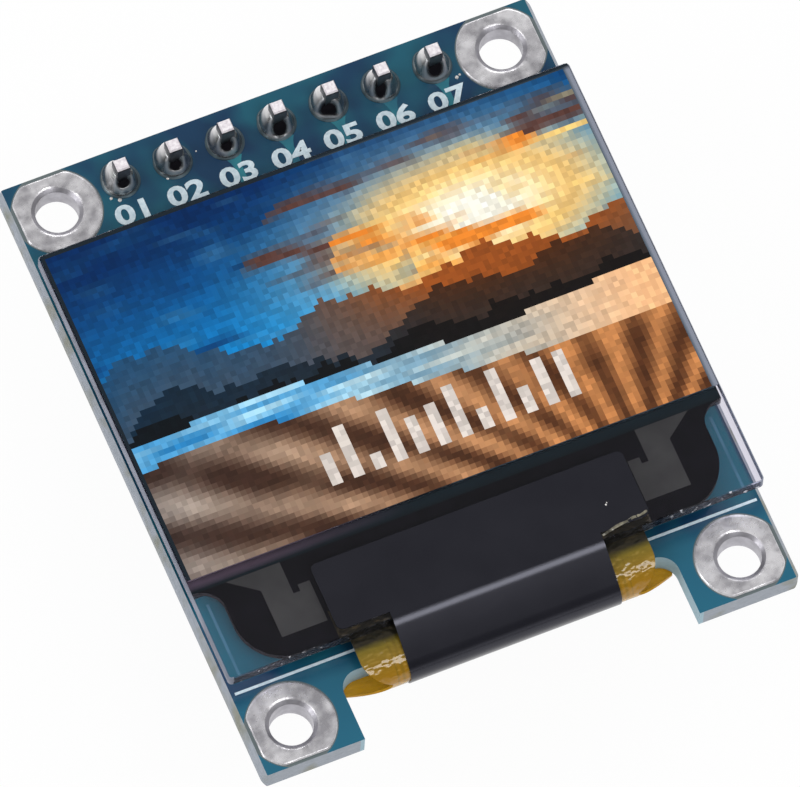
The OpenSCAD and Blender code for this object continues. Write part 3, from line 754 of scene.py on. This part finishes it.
jointSolder = makeSolder()
for i, spot in enumerate(pinPlaces, 1):
    makeSolderJoint(i, spot, **jointValues)

print("tracks and print")
trackValues = {
    "pins": (3, 4, 5, 6, 7),
    "start": 0.80 * mm,          # distance from the pin's centre
    "fan": 0.55 * mm,
    "run": 1.9 * mm,
    "width": 0.34 * mm,
    "fanWidth": 0.78 * mm,
    "height": 0.010 * mm,
    "drift": 0.10 * mm,
    "edges": ((-12.12, -10.75, -6.9), (12.28, -10.75, -6.9)),   # x and the ends of the lines under the glass
    "edgeWidth": 0.13 * mm,
}


def makeTracks(pins, start, fan, run, width, fanWidth, height, drift, edges, edgeWidth):
    z = boardTop + height / 2
    tracks = []
    for number in pins:
        spot = pinPlaces[number - 1]
        y = spot.y - start
        stations = [(y, z, fanWidth / 2), (y - fan * 0.5, z, width * 0.75),
                    (y - fan, z, width / 2), (y - run, z, width / 2)]
        tracks.append(ribbon("track", spot.x + drift, stations, height))
    finishPiece(joinPieces(tracks, "maskedTracks"), maskedCopper, "solder_mask_board")
    # pale matt lines on the mask under the glass's sides
    lines = [strip("paleEdgeLine", x * mm, start * mm, end * mm, z, edgeWidth, height)
             for x, start, end in edges]
    finishPiece(joinPieces(lines, "paleEdgeLines"), paleUnderGlassLines, "solder_mask_board")


makeTracks(**trackValues)

ink = 0.024 * mm
digitValues = {
    "tall": 1.0 * mm,
    "fromEdge": 2.68 * mm,       # from the board's top edge to the tops of the digits
    "drop": 0.017 * mm,          # the row sinks a little from one pin to the next
    "weight": 0.03,              # how far the strokes are fattened, as a share of the size
    "stretch": 1.4,              # the digits are wider than they are usually drawn
}
lineValues = {
    "fromGlass": -0.09 * mm,
    "width": 0.13 * mm,
    "ends": ((-12.62, -6.85), (7.33, 12.66)),
}


def makeDigits(tall, fromEdge, drop, weight, stretch):
    digits = []
    for number, spot in enumerate(pinPlaces, 1):
        deselectAll()
        bpy.ops.object.text_add(location=(0, 0, 0))
        text = bpy.context.object.data
        text.body = f"{number:02d}"
        text.align_x = "CENTER"
        text.offset = weight
        text.resolution_u = 4
        text.extrude = 0.01
        bpy.ops.object.convert(target="MESH")
        piece = bpy.context.object
        scale = tall / piece.dimensions.y
        bottom = min(v.co.y for v in piece.data.vertices) * scale
        piece.scale = (scale * stretch, scale, ink / piece.dimensions.z)
        top = boardHigh.y - fromEdge - drop * number
        piece.location = (spot.x, top - tall - bottom, boardTop + ink / 2)
        digits.append(settle("digits"))
    return digits


def makePrint(fromGlass, width, ends):
    y = glassLow.y + fromGlass
    parts = makeDigits(**digitValues)
    for start, end in ends:
        parts.append(addBlock("line", (start * mm, y - width / 2, boardTop),
                              (end * mm, y + width / 2, boardTop + ink)))
    finishPiece(joinPieces(parts, "whitePrint"), whiteInk, "solder_mask_board")


makePrint(**lineValues)

# beads of flux and tin spatter round the header
speckValues = {
    "onBoard": ((-8.35, 13.24, 0.08), (-8.02, 13.02, 0.10), (-5.6, 13.22, 0.09), (-2.86, 13.13, 0.06),
                (-4.33, 14.15, 0.05), (-3.91, 13.98, 0.04), (8.43, 12.97, 0.09), (8.6, 13.05, 0.06)),
    "onTape": ((5.93, -9.68, 0.05), (6.0, -9.6, 0.035)),
    "tapeRise": 0.06 * mm,
    "flatness": 0.5,
}


def makeSpecks(onBoard, onTape, tapeRise, flatness):
    beads = []
    tapeTop = glassHigh.z + tapeRise
    spots = [(*spot, boardTop) for spot in onBoard] + [(*spot, tapeTop) for spot in onTape]
    for x, y, radius, z in spots:
        deselectAll()
        spot = (x * mm, y * mm, z)
        bpy.ops.mesh.primitive_ico_sphere_add(subdivisions=2, radius=radius * mm, location=spot)
        bpy.context.object.scale.z = flatness
        beads.append(settle("bead"))
    finishPiece(joinPieces(beads, "solderSpecks"), pinTin, "solder", angle=80)


makeSpecks(**speckValues)

print("panel")
glassValues = {
    "corner": 0.20 * mm,
    "chamfer": 0.05 * mm,
    "lap": 0.004 * mm,           # sinks the glass onto the films behind it, glued with no air between
}


def makeFrontGlass(corner, chamfer, lap):
    sink = Vector((0, 0, lap))
    glass = addBlock("frontGlass", glassLow - sink, glassHigh - sink)
    pickEdges(glass, lambda a, b: abs(a.z - b.z) > 0.1 * mm)
    bpy.ops.mesh.bevel(offset=corner, segments=6)
    leaveEdit()
    roundEdges(glass, chamfer, 1, 60)
    paint(glass, clearGlass, scribedGlass)
    for face in glass.data.polygons:
        face.material_index = 0 if abs(face.normal.z) > 0.99 else 1
    place(glass, "front_glass", "front_glass")


makeFrontGlass(**glassValues)

pictureValues = {
    "columns": 96,
    "rows": 64,
    "margins": (0.16 * mm, 0.30 * mm, 0.20 * mm),   # of unlit film at the left, right and top
    "glow": 1.0,
    "jitter": 0.09,              # how much one dot differs from the next
    "seed": 7,
    "ridges": (                  # height, swing, spacing, colour near the glow, colour away from it
        (0.58, 0.12, 4.2, "#9a4f1e", "#1d4c74"),
        (0.50, 0.10, 6.5, "#4d2a14", "#10283c"),
        (0.43, 0.06, 9.5, "#241309", "#0a1218"),
    ),
    "meter": {"left": 0.30, "width": 0.50, "bars": 12, "low": 0.105, "high": 0.27, "colour": "#ddd3cb"},
}


def mixColours(first, second, share):
    share = min(1, max(0, share))
    return [a + (b - a) * share for a, b in zip(triple(first), triple(second))]


def noiseAt(*spot):
    return noise.noise(Vector(spot))


# a made-up evening landscape of ridges, a lake and furrowed fields, with a level meter over it
def pictureColour(u, v, ridges, meter):
    glow = math.exp(-((u - 0.74) / 0.30) ** 2 - ((v - 0.70) / 0.22) ** 2)
    colour = mixColours("#1488cf", "#00295b", 2.4 * (v - 0.60) + 0.55 * (0.5 - u))
    colour = mixColours(colour, "#d8cfc0", 1.5 * glow - 0.08)
    colour = mixColours(colour, "#ffc25a", 2.2 * (glow - 0.34))
    colour = mixColours(colour, "#fffbea", 3.2 * (glow - 0.66))
    cloud = noiseAt(u * 5 + 3, v * 16, 1.3) + 0.5 * noiseAt(u * 13, v * 34, 4.7)
    cloudy = "#f08a2e" if glow > 0.45 else "#5b3b34" if glow > 0.12 else "#06386a"
    colour = mixColours(colour, cloudy, 2.2 * (cloud - 0.14))
    high = noiseAt(u * 9, v * 22, 6.1)
    colour = mixColours(colour, "#ffd27a" if u > 0.6 else "#4f7fa5", 2.5 * (high - 0.22) * (u + 0.1))
    for height, swing, spacing, warm, cold in ridges:
        line = height + swing * noiseAt(u * spacing, height * 9, 0) + 0.03 * noiseAt(u * 40, height, 2)
        if v < line:
            colour = mixColours(cold, warm, 1.5 * glow + 0.3 * u + 1.2 * (line - v))
    if v < 0.40 + 0.02 * math.sin(u * 7):
        colour = mixColours("#a9dcf5", "#2c86c4", 0.5 + 1.4 * noiseAt(u * 6, v * 60, 8))
        colour = mixColours(colour, "#ffc28c", 1.6 * u - 0.55)
    if v < 0.30 + 0.04 * math.sin(u * 4 + 1):
        furrow = math.sin(math.atan2(v + 0.25, u - 0.85) * 34) + 0.8 * noiseAt(u * 9, v * 14, 5)
        field = mixColours("#54301a", "#d08a52", 0.5 + 0.45 * furrow)
        dusk = mixColours("#3b2a24", "#a59a92", 0.4 + 0.4 * furrow)
        colour = mixColours(field, dusk, 1.0 - 1.3 * u)
    bar = (u - meter["left"]) / meter["width"] * meter["bars"]
    if 0 <= bar < meter["bars"] and bar % 1 < 0.62:
        level = 0.25 + 0.75 * abs(math.sin(int(bar) * 1.3 + 0.5))
        tall = meter["low"] + (meter["high"] - meter["low"]) * level
        if meter["low"] <= v < tall:
            colour = triple(meter["colour"])
    return colour


# a lit picture behind a satin film: self-lit colour under a faint gloss
def makeLitFilm(glow):
    material, add = startMaterial("litPictureUnderFilm")
    add("surface", add("body", "#050507", 0.25, more={
        "Specular IOR Level": 0.2, "Emission Color": add("colours", attribute_name="picture"),
        "Emission Strength": glow}))
    return material


# the film's unlit margin: grey glossy plastic, dark on one side, and pale where it overhangs the board as
# painted light from the floor below it, with a purple painted highlight along its lower edge
def makeClearFilm():
    material, add = startMaterial("greyPolariserFilm")
    x, y, z = add("axes", add("place"))
    # painted light: the margin over the overhang is pale grey
    paintedPale = add("range", x, filmHigh.x - 0.30 * mm, filmHigh.x - 0.14 * mm)
    paintedPale = add("blend", paintedPale, "#4a5a68", "#8f95a4")
    right = add("range", y, filmHigh.y - 0.3 * mm, filmHigh.y - 0.1 * mm, 1, 0)
    body = add("blend", add("MULTIPLY", add("GREATER_THAN", x, 0), right), "#15222c", paintedPale)
    # painted highlight: the purple fringe along the film's lower edge
    fringeHighlight = add("LESS_THAN", y, filmLow.y + 0.01 * mm)
    fringeHighlight = add("MULTIPLY", fringeHighlight, add("range", x, *fringeHighlightEnds, 1, 0))
    body = add("matt", add("blend", fringeHighlight, body, "#7d6f80"))
    film = add("layer", 0.85, add("clear", "#b6bcc8"), body)
    add("surface", add("layer", add("fresnel", 1.5), film, add("mirror", "#ffffff", 0.12)))
    return material


# each dot of the display is a face of its own, coloured through a colour attribute
def makePicture(columns, rows, margins, glow, jitter, seed, ridges, meter):
    deselectAll()
    marginLeft, marginRight, marginTop = margins
    left, right, top = filmLow.x + marginLeft, filmHigh.x - marginRight, filmHigh.y - marginTop
    wide, tall = right - left, top - filmLow.y
    centre = ((left + right) / 2, filmLow.y + tall / 2, filmHigh.z)
    bpy.ops.mesh.primitive_grid_add(x_subdivisions=columns, y_subdivisions=rows, size=1, location=centre)
    bpy.context.object.scale = (wide, tall, 1)
    film = settle("picturePolariser")
    edge = 0.01 * mm
    margins = ((lambda a, b: min(a.y, b.y) > top - edge, (0, marginTop, 0)),
               (lambda a, b: max(a.x, b.x) < left + edge, (-marginLeft, 0, 0)),
               (lambda a, b: min(a.x, b.x) > right - edge, (marginRight, 0, 0)))
    for test, step in margins:
        pickEdges(film, test)
        extrude(step)
    bpy.ops.mesh.select_all(action="DESELECT")
    bpy.ops.mesh.select_non_manifold()
    extrude((0, 0, filmLow.z - filmHigh.z))
    bpy.ops.mesh.edge_face_add()
    leaveEdit()
    tidyNormals(film)
    paint(film, makeLitFilm(glow), makeClearFilm())
    colours = film.data.color_attributes.new("picture", "FLOAT_COLOR", "CORNER")
    dice = random.Random(seed)
    for face in film.data.polygons:
        lit = face.normal.z > 0.9 and face.center.y < top and left < face.center.x < right
        face.material_index = 0 if lit else 1
        colour = [0, 0, 0]
        if lit:
            u = (math.floor((face.center.x - left) / wide * columns) + 0.5) / columns
            v = (math.floor((face.center.y - filmLow.y) / tall * rows) + 0.5) / rows
            shade = 1 + jitter * dice.uniform(-1, 1)
            colour = [min(1, max(0, c * shade)) for c in pictureColour(u, v, ridges, meter)]
        linear = srgb([round(c * 255) / 255 for c in colour])
        for corner in face.loop_indices:
            colours.data[corner].color = linear
    place(film, "polariser_film", "polariser")


makePicture(**pictureValues)

print("flex cable and tape")
foldValues = {
    "steps": 14,
    "film": 0.10 * mm,
    "lead": 0.4 * mm,            # from the glass to the start of the fold
    "endFromTip": 0.7 * mm,
    "bond": (7.55 * mm, 1.6 * mm),
    "neck": 7.1 * mm,
    "waist": 5.95 * mm,
    "wing": 0.55,                # height of the tail's flare, as a share of the neck's
    "tail": 1.4 * mm,
    "tape": 0.06 * mm,
    "tapeHalf": 5.1 * mm,
    "tapeGap": 0.01 * mm,
    "wideHalf": 7.55 * mm,
    "wide": (0.35 * mm, 3.75 * mm),   # from the glass's lower edge
    "corner": 0.3 * mm,
    "cornerSteps": 5,
    "shoulderStart": 0.12 * mm,
    "shoulder": ((20, 0.45 * mm), (35, 1.9 * mm), (80, 0.4 * mm)),   # turns reached and their radii
}
foldTip = flexLow.y + foldValues["film"] / 2
flexTop = glassLow.z - foldValues["film"] / 2
flexBottom = flexLow.z + foldValues["film"] / 2


def foldPath(values, out=0.0):
    start, end = glassLow.y - values["lead"], foldTip + values["endFromTip"]
    middle, rise = (flexTop + flexBottom) / 2, (flexTop - flexBottom) / 2 + out
    path = []
    for centre, sign in ((start, 1), (end, -1)):
        reach = centre - foldTip + out
        turns = [math.pi / 2 * k / values["steps"] for k in range(values["steps"] + 1)]
        for turn in (reversed(turns) if sign > 0 else turns[1:]):
            path.append((centre - reach * math.cos(turn), middle + sign * rise * math.sin(turn)))
    return path


# amber polyimide film over etched copper: see-through gold where bare, brown-green over the tracks, with fine
# creases that break its gloss into glints; the tracks are drawn coarse enough to show. Near the glass's edge
# it is painted near-black as painted shadow, and the part on the back is painted a brighter gold, partly
# painted light from the floor shining through it
def makePolyimide():
    material, add = startMaterial("amberPolyimideFilm")
    x, y, z = add("axes", add("place"))
    pitch = 0.30 * mm
    wave = add("SINE", add("MULTIPLY", x, 2 * math.pi / pitch))
    tracks = add("MULTIPLY", add("range", wave, -1, 1), add("LESS_THAN", fromMiddle(add, x), 5.7 * mm))
    onFront = add("GREATER_THAN", z, (flexTop + flexBottom) / 2)
    golden = add("blend", add("range", y, foldTip, glassLow.y - 0.25 * mm), "#a3761a", "#6f6a22")
    # partly painted light: the back part is a brighter gold
    golden = add("blend", onFront, "#c48f14", golden)
    golden = add("blend", add("MULTIPLY", tracks, 0.5), golden, "#75601a")
    # painted shadow of the glass's edge: near-black
    glassEdgeShadow = add("range", y, glassLow.y - 0.75 * mm, glassLow.y - 0.40 * mm)
    golden = add("blend", add("MULTIPLY", glassEdgeShadow, onFront), golden, "#24231c")
    creases = add("ADD", add("MULTIPLY", tracks, 0.03), grain(add, 0.40, 1.3, (0.8, 1.3, 1)))
    skin = add("body", golden, 0.3, add("bump", creases, 0.12 * mm), more={
        "IOR": 1.55, "Specular Tint": "#e6c27a", "Coat Weight": 1.0, "Coat Roughness": 0.07,
        "Coat Normal": add("bump", creases, 0.05 * mm)})
    add("surface", add("layer", add("range", onFront, 0, 1, 0.4, 0.1), skin, add("clear", "#ead070")))
    return material


def makeFlex(values):
    neck, waist = values["neck"], values["waist"]
    curve, tailHalf = neck - waist, flexHigh.x - panelX

    def halfWidth(y, front):
        if front:
            rise = foldTip + curve - y
            return neck if rise < 0 else waist + math.sqrt(max(0, curve ** 2 - rise ** 2))
        return waist + (tailHalf - waist) * max(0, min(1, (y - foldTip) / (values["wing"] * curve)))

    bondHalf, bondLong = values["bond"]
    stations = [(glassLow.y + bondLong, flexTop, bondHalf), (glassLow.y + 0.02 * mm, flexTop, bondHalf),
                (glassLow.y, flexTop, neck)]
    stations += [(y, z, halfWidth(y, i <= values["steps"])) for i, (y, z) in enumerate(foldPath(values))]
    stations += [(flexHigh.y - values["tail"], flexBottom, tailHalf), (flexHigh.y, flexBottom, tailHalf)]
    flex = ribbon("flexCable", panelX, stations, values["film"])
    finishPiece(flex, makePolyimide(), "polyimide_film", "flex_cable", angle=40)


def makeTape(values):
    outside = foldPath(values, values["film"] / 2 + values["tape"] / 2 + values["tapeGap"])
    flat = glassHigh.z + values["tape"] / 2
    wide, half = values["wideHalf"], values["tapeHalf"]
    (low, high), corner = values["wide"], values["corner"]
    turns = [math.pi / 2 * k / values["cornerSteps"] for k in range(values["cornerSteps"] + 1)]
    rounds = [(corner * (1 - math.cos(turn)), corner * (1 - math.sin(turn))) for turn in turns]
    stations = [(glassLow.y + high - small, flat, wide - large) for small, large in rounds]
    stations += [(glassLow.y + low + large, flat, wide - small) for small, large in rounds]
    y, z = glassLow.y + values["shoulderStart"], flat
    stations += [(glassLow.y + low - 0.002 * mm, flat, half), (y, z, half)]
    # the shoulder turns down by small steps until it points at the fold
    step = 2
    for degrees in range(step, 80, step):
        bend = next(radius for reached, radius in values["shoulder"] if degrees <= reached + 1)
        middle, arc = math.radians(degrees - step / 2), bend * math.radians(step)
        y, z = y - arc * math.cos(middle), z - arc * math.sin(middle)
        falls = [math.atan2(z - foldZ, y - foldY) for foldY, foldZ in outside]
        stations.append((y, z, half))
        if math.radians(degrees) >= min(falls):
            break
    stations += [(y, z, half) for y, z in outside[falls.index(min(falls)):]]
    tape = ribbon("blackTape", panelX, stations, values["tape"])
    finishPiece(tape, blackTape, "black_tape", "shade_tape", angle=40)


makeFlex(foldValues)
makeTape(foldValues)

# the tape's torn lower edge beside the fold, crumpled and glossy so that it glints; its pale colour is partly
# painted highlight where the edge catches the light
crumpleValues = {
    "ends": ((5.2, -11.0), (7.5, -10.62)),
    "width": 0.12 * mm,
    "rise": 0.09 * mm,
    "waves": 0.07 * mm,
    "highest": 0.3,
    "thickness": 0.012 * mm,
}


def makeCrumple(ends, width, rise, waves, highest, thickness):
    deselectAll()
    (x0, y0), (x1, y1) = ends
    long = math.hypot(x1 - x0, y1 - y0) * mm
    bpy.ops.mesh.primitive_grid_add(x_subdivisions=48, y_subdivisions=4, size=1, location=(
        (x0 + x1) / 2 * mm, (y0 + y1) / 2 * mm, glassHigh.z + rise))
    bpy.context.object.scale = (long, width, 1)
    bpy.context.object.rotation_euler.z = math.atan2(y1 - y0, x1 - x0)
    edge = settle("tornTapeEdge")
    for vertex in edge.data.vertices:
        ruffle = noise.noise(vertex.co / (0.22 * mm)) + 0.5 * noise.noise(vertex.co / (0.09 * mm))
        vertex.co.z += min(highest, ruffle) * waves
        vertex.co.y += noise.noise(vertex.co / (0.5 * mm) + Vector((5, 0, 0))) * waves * 1.4
    applyModifier(edge, "SOLIDIFY", thickness=thickness, offset=-1)
    finishPiece(edge, glossyTornEdge, "black_tape", angle=40)


makeCrumple(**crumpleValues)

print("parts on the back")
endPartValues = {
    "inset": 0.03 * mm,          # the body is a little smaller than its metal ends
    "bodyRound": 0.04 * mm,
    "end": 0.30 * mm,
    "endRound": 0.05 * mm,
    "pad": 0.22 * mm,            # tinned pad beyond the end
    "padSide": 0.08 * mm,
    "padUnder": 0.05 * mm,
    "padSkin": 0.02 * mm,
    "padRound": 0.015 * mm,
    "lip": 0.03 * mm,
    "filletInset": 0.04 * mm,
    "drawn": 0.6,                # height of the solder on the end, as a share of the part's
}


# a body between two metal ends, each with solder drawn up it from the pad; the long way is x
def makeEndPart(name, node, back, glazed, sides, inset, bodyRound, end, endRound, pad, padSide, padUnder,
                padSkin, padRound, lip, filletInset, drawn):
    low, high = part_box(node)
    body = addBlock(name, (low.x + inset, low.y + inset, low.z + inset),
                    (high.x - inset, high.y - inset, back))
    roundEdges(body, bodyRound, 2)
    paint(body, glazed, sides)
    for face in body.data.polygons:
        face.material_index = 0 if face.normal.z < -0.5 else 1
    pieces = [body]
    tall = (back - low.z) * drawn
    for side in (-1, 1):
        outer = high.x if side > 0 else low.x
        inner, far = outer - side * end, outer + side * pad
        start = inner - side * padUnder
        cap = addBlock("end", (min(outer, inner), low.y, low.z), (max(outer, inner), high.y, back))
        roundEdges(cap, endRound, 3)
        paint(cap, pinTin)
        fillet = addBlock("fillet", (min(outer, far), low.y + filletInset, back - tall),
                          (max(outer, far), high.y - filletInset, back))
        pickEdges(fillet, lambda a, b: max(a.z, b.z) < back - tall / 2
                  and min(side * a.x, side * b.x) > side * far - 0.01 * mm)
        bpy.ops.mesh.bevel(offset=min(tall, pad) * 0.92, segments=6, profile=0.2)
        leaveEdit()
        smooth(fillet, 50)
        tinned = addBlock("pad", (min(start, far) - lip, low.y - padSide, back - padSkin),
                          (max(start, far) + lip, high.y + padSide, back))
        roundEdges(tinned, padRound, 2)
        paint(fillet, solder)
        paint(tinned, solder)
        pieces += [cap, fillet, tinned]
    return joinPieces(pieces, name)


# copies of the first part, moved to the other places and turned where the part stands the other way
def makeEndParts(kind, nodeName, first, glazed, sides, slotName):
    nodes = {i: f"{nodeName}_{i}" for i in range(1, 7)}
    piece = makeEndPart(f"{kind}_{first}", nodes[first], boardLow.z, glazed, sides, **endPartValues)
    smooth(piece, 40)
    low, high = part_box(nodes.pop(first))
    for i, node in nodes.items():
        otherLow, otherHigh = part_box(node)
        new = copyPiece(piece, f"{kind}_{i}", -(low + high) / 2)
        if otherHigh.y - otherLow.y > otherHigh.x - otherLow.x:
            new.data.transform(Matrix.Rotation(math.pi / 2, 4, "Z"))
        new.data.transform(Matrix.Translation((otherLow + otherHigh) / 2))
        place(new, slotName, node)
    place(piece, slotName, f"{nodeName}_{first}")


makeEndParts("chipCapacitor", "capacitor", 2, ceramic, ceramic, "capacitor_ceramic")
makeEndParts("chipResistor", "resistor", 4, resistorGlaze, alumina, "resistor_body")

windingValues = {
    "core": 1.20 * mm,
    "radius": 1.30 * mm,
    "wire": 0.10 * mm,
    "top": -0.40 * mm,
    "turns": 7,
    "steps": 4,                  # round each turn
    "segments": 48,
}


# enamelled wire wound in one layer between the inductor's flanges
def makeWinding(core, radius, wire, top, turns, steps, segments):
    low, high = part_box("inductor")
    profile = [(core, top)]
    for turn in range(turns):
        middle = top - wire * (turn + 0.5)
        for step in range(steps + 1):
            angle = math.pi / 2 - math.pi * step / steps
            profile.append((radius + wire / 2 * math.cos(angle), middle + wire / 2 * math.sin(angle)))
    profile += [(core, top - wire * turns), (core, top)]
    winding = lathe("inductorWinding", (low.x + high.x) / 2, (low.y + high.y) / 2, profile, segments)
    finishPiece(winding, enamelledWire, "ferrite", angle=60)


makeWinding(**windingValues)

backValues = {
    "height": 0.012 * mm,
    "crossing": 1.3,             # how much thicker the tracks along x are, so that crossings don't flicker
    "width": 0.30 * mm,
    # tracks that run along y: x, and the y of both ends
    "along": ((-7.62, 9.6, 12.4), (-5.08, 5.4, 12.8), (-2.54, 10.2, 12.8), (0.0, 9.8, 12.8),
              (2.54, 9.8, 12.8), (5.08, 9.6, 12.8), (7.62, -5.9, 12.8), (-8.84, 3.5, 6.2),
              (-4.8, -5.9, 1.2), (-2.2, -5.9, 1.9), (3.2, -5.9, 1.2), (10.14, -0.4, 7.2)),
    # tracks that run along x: y, and the x of both ends
    "across": ((9.3, -4.3, -2.0), (9.3, 0.2, 2.4), (3.6, 1.8, 3.6), (3.6, 6.9, 8.4), (-1.5, -2.8, 0.2),
               (6.4, -7.0, -1.6)),
    "vias": ((-9.5, 4.7), (-7.0, 8.9), (-3.6, 6.6), (-2.2, 0.9), (2.4, 6.4), (3.2, 0.6), (7.62, 3.1),
             (8.3, 6.6), (10.14, 3.2), (-10.6, -3.4), (-8.8, -7.9), (9.2, -7.6), (10.9, -4.1),
             (0.4, -4.4), (-6.4, -3.2)),
    "ring": 0.020 * mm,          # height, outer radius and hole of a via's plated ring
    "out": 0.30 * mm,
    "hole": 0.15 * mm,
    "segments": 24,
}


# masked copper tracks and plated through-holes on the back, each hole shown as a black disc of painted shade
def makeBackTracks(height, crossing, width, along, across, vias, ring, out, hole, segments):
    bottom = boardLow.z
    z = bottom - height / 2
    tracks = [strip("track", x * mm, start * mm, end * mm, z, width, height) for x, start, end in along]
    for y, start, end in across:
        track = strip("track", 0, start * mm, end * mm, z, width, height * crossing)
        track.data.transform(Matrix.Translation((0, y * mm, 0)) @ Matrix.Rotation(-math.pi / 2, 4, "Z"))
        tracks.append(track)
    finishPiece(joinPieces(tracks, "backTracks"), maskedCopper, "solder_mask_board")
    rings = []
    slope = 0.01 * mm
    for x, y in vias:
        profile = [(hole, bottom), (out, bottom), (out - slope, bottom - ring), (hole + slope, bottom - ring),
                   (hole, bottom)]
        rings.append(lathe("via", x * mm, y * mm, profile, segments))
        paint(rings[-1], maskedCopper)
        # painted shade: a black disc stands in for the via's open hole
        profile = [(hole * 0.98, bottom), (hole * 0.98, bottom - height * 1.2)]
        rings.append(lathe("viaHole", x * mm, y * mm, profile, segments, close=True))
        paint(rings[-1], nylon)
    place(joinPieces(rings, "vias"), "solder_mask_board")


makeBackTracks(**backValues)

outlineValues = {
    "line": 0.12 * mm,
    "gap": 0.30 * mm,            # from the part to the line round it
    "thickness": 0.02 * mm,
    "parts": ("regulator", "boost_converter", "inductor", "diode"),
    "corner": 0.45 * mm,
    "dot": (0.25 * mm, 0.14 * mm),    # its distance past the corner, and its radius
}


# white corner marks printed round the larger parts, and a dot beside the first lead
def makeOutlines(line, gap, thickness, parts, corner, dot):
    low, high = boardLow.z - thickness, boardLow.z
    past, radius = dot
    marks = []
    for node in parts:
        first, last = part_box(node)
        for x, stepX in ((first.x - gap, 1), (last.x + gap, -1)):
            for y, stepY in ((first.y - gap, 1), (last.y + gap, -1)):
                for long, short in ((corner, line), (line, corner)):
                    endX, endY = x + stepX * long, y + stepY * short
                    marks.append(addBlock("mark", (min(x, endX), min(y, endY), low),
                                          (max(x, endX), max(y, endY), high)))
        profile = [(radius, high), (radius, low)]
        marks.append(lathe("dot", last.x + gap + past, first.y - gap, profile, 20, close=True))
    finishPiece(joinPieces(marks, "backPrint"), whiteInk, "solder_mask_board")


makeOutlines(**outlineValues)

print("finishes on the carried-over nodes")
finishes = {
    "board": maskedBoard, "header_strip": nylon, "double_sided_tape": foam, "glass_seal": resin,
    "potting": potting, "driver_chip": epoxy, "flex_solder": solder, "inductor": ferrite,
    "contact_left": contactFilm, "contact_right": contactFilm, "rear_glass": clearGlass,
    "drying_sheet": foam, "light_layers": potting, "regulator": regulatorPlastic,
    "boost_converter": converterPlastic, "diode": diodePlastic,
    **{f"header_pin_{i}": pinMetal for i in range(1, 8)},
}
for node, material in finishes.items():
    paint(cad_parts[node], material)
